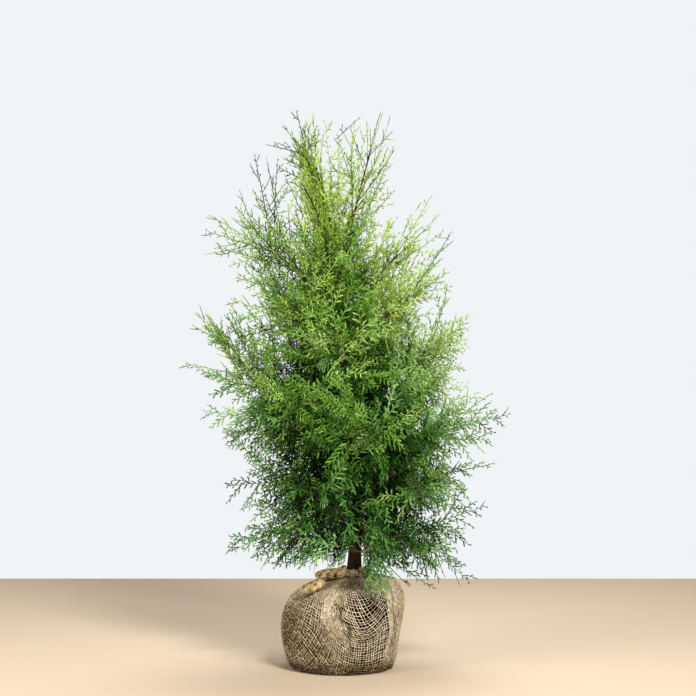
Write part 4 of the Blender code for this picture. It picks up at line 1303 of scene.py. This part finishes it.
def makeTwine():
    # each cord: point = middle + radius at its azimuth, with height along it; closed tubes of six sides
    share = np.linspace(0, 1, twineRule["points"])
    turns = share * 2 * np.pi * twineRule["turns"]
    out = gathers["radius"] + gathers["halfWidth"] * 0.93 + 0.0006 * np.sin(turns * 9)
    height = gathers["middle"] - twineRule["drop"] + twineRule["rise"] * share + 0.0008 * np.sin(turns * 1.7)
    lines = [np.stack([trunk["foot"].x + out * np.cos(turns), out * np.sin(turns), height], axis=-1)]
    for azimuth, drop, lean in twineRule["loops"]:
        around = math.radians(azimuth) + lean * 8 * np.sin(np.pi * share) * share + 0.10 * share
        hang = gathers["middle"] + 0.006 - drop * np.sin(np.pi * share) ** 0.8
        away = gathers["radius"] + gathers["halfWidth"] + 0.004 + 0.012 * np.sin(np.pi * share)
        x, y = trunk["foot"].x + away * np.cos(around), away * np.sin(around)
        lines.append(np.stack([x, y, hang], axis=-1))
    half = np.full((len(lines), twineRule["points"] - 2), twineRule["half"])
    points, faces, _ = sweep(np.array(lines), np.tile([[0.02, 0.03, 1.0]], (len(lines), 1)), half, half, 6)
    return addPiece("twine", points, faces, [juteMaterials[3]])


mount(makeCollar(), "hessian_gathered", "cloth_collar")
mount(makeTwine(), "hessian_gathered", "cloth_collar")
for name, shape in knots.items():
    mount(makeKnot(name, shape), "hessian_gathered", shape["node"])
print("collar and knots made")


# Camera, ground and light

cameraData = bpy.data.cameras.new("camera")
cameraData.lens = view["lens"]
cameraData.sensor_width = view["sensor"]
camera = bpy.data.objects.new("camera", cameraData)
camera.location = view["place"]
camera.rotation_euler = (math.radians(90 + view["pitch"]), 0, 0)
bpy.context.scene.collection.objects.link(camera)
bpy.context.scene.camera = camera

studio = {"floorHalf": 1.68, "floorColour": "#d3bea4", "wallColour": "#f1f4f6", "wallStrength": 1.0,
          "ambient": 0.13, "ambientColour": "#eef1f2", "aim": 0.7}
half = studio["floorHalf"]
finish = {"Base Color": linear(studio["floorColour"]), "Roughness": 0.6}
corners = [(-half, -half * 1.6, 0), (half, -half * 1.6, 0), (half, half, 0), (-half, half, 0)]
floor = addPiece("floor", corners, [(0, 1, 2), (0, 2, 3)], [newMaterial("paleFloor", finish)[0]],
                 smooth=False)

world = bpy.data.worlds.new("studio")
world.use_nodes = True
tree = world.node_tree
tree.nodes.clear()
rays = addNode(tree, "LightPath")
seen, ambient = (
    addNode(tree, "Background", {"Color": linear(studio[colour]), "Strength": studio[strength]})
    for colour, strength in (("wallColour", "wallStrength"), ("ambientColour", "ambient")))
both = addNode(tree, "MixShader",
               links={0: rays.outputs["Is Camera Ray"], 1: ambient.outputs[0], 2: seen.outputs[0]})
addNode(tree, "OutputWorld", links={"Surface": both.outputs[0]})
bpy.context.scene.world = world
bpy.context.scene.view_settings.view_transform = "Standard"

lamps = (
    {"name": "key", "place": (1.1, -2.8, 2.9), "size": 0.8, "watts": 184, "colour": (1.0, 0.98, 0.94)},
    {"name": "fill", "place": (-2.2, -1.6, 1.6), "size": 1.0, "watts": 47, "colour": (1.0, 0.97, 0.93)},
    {"name": "top", "place": (0.3, 0.8, 3.0), "size": 1.4, "watts": 66, "colour": (0.97, 0.99, 1.0)},
)
for lamp in lamps:
    data = bpy.data.lights.new(lamp["name"], "AREA")
    data.energy, data.size, data.color = lamp["watts"], lamp["size"], lamp["colour"]
    lampObject = bpy.data.objects.new(lamp["name"], data)
    lampObject.location = lamp["place"]
    aim = Vector((0, 0, studio["aim"])) - lampObject.location
    lampObject.rotation_euler = aim.to_track_quat("-Z", "Y").to_euler()
    bpy.context.scene.collection.objects.link(lampObject)
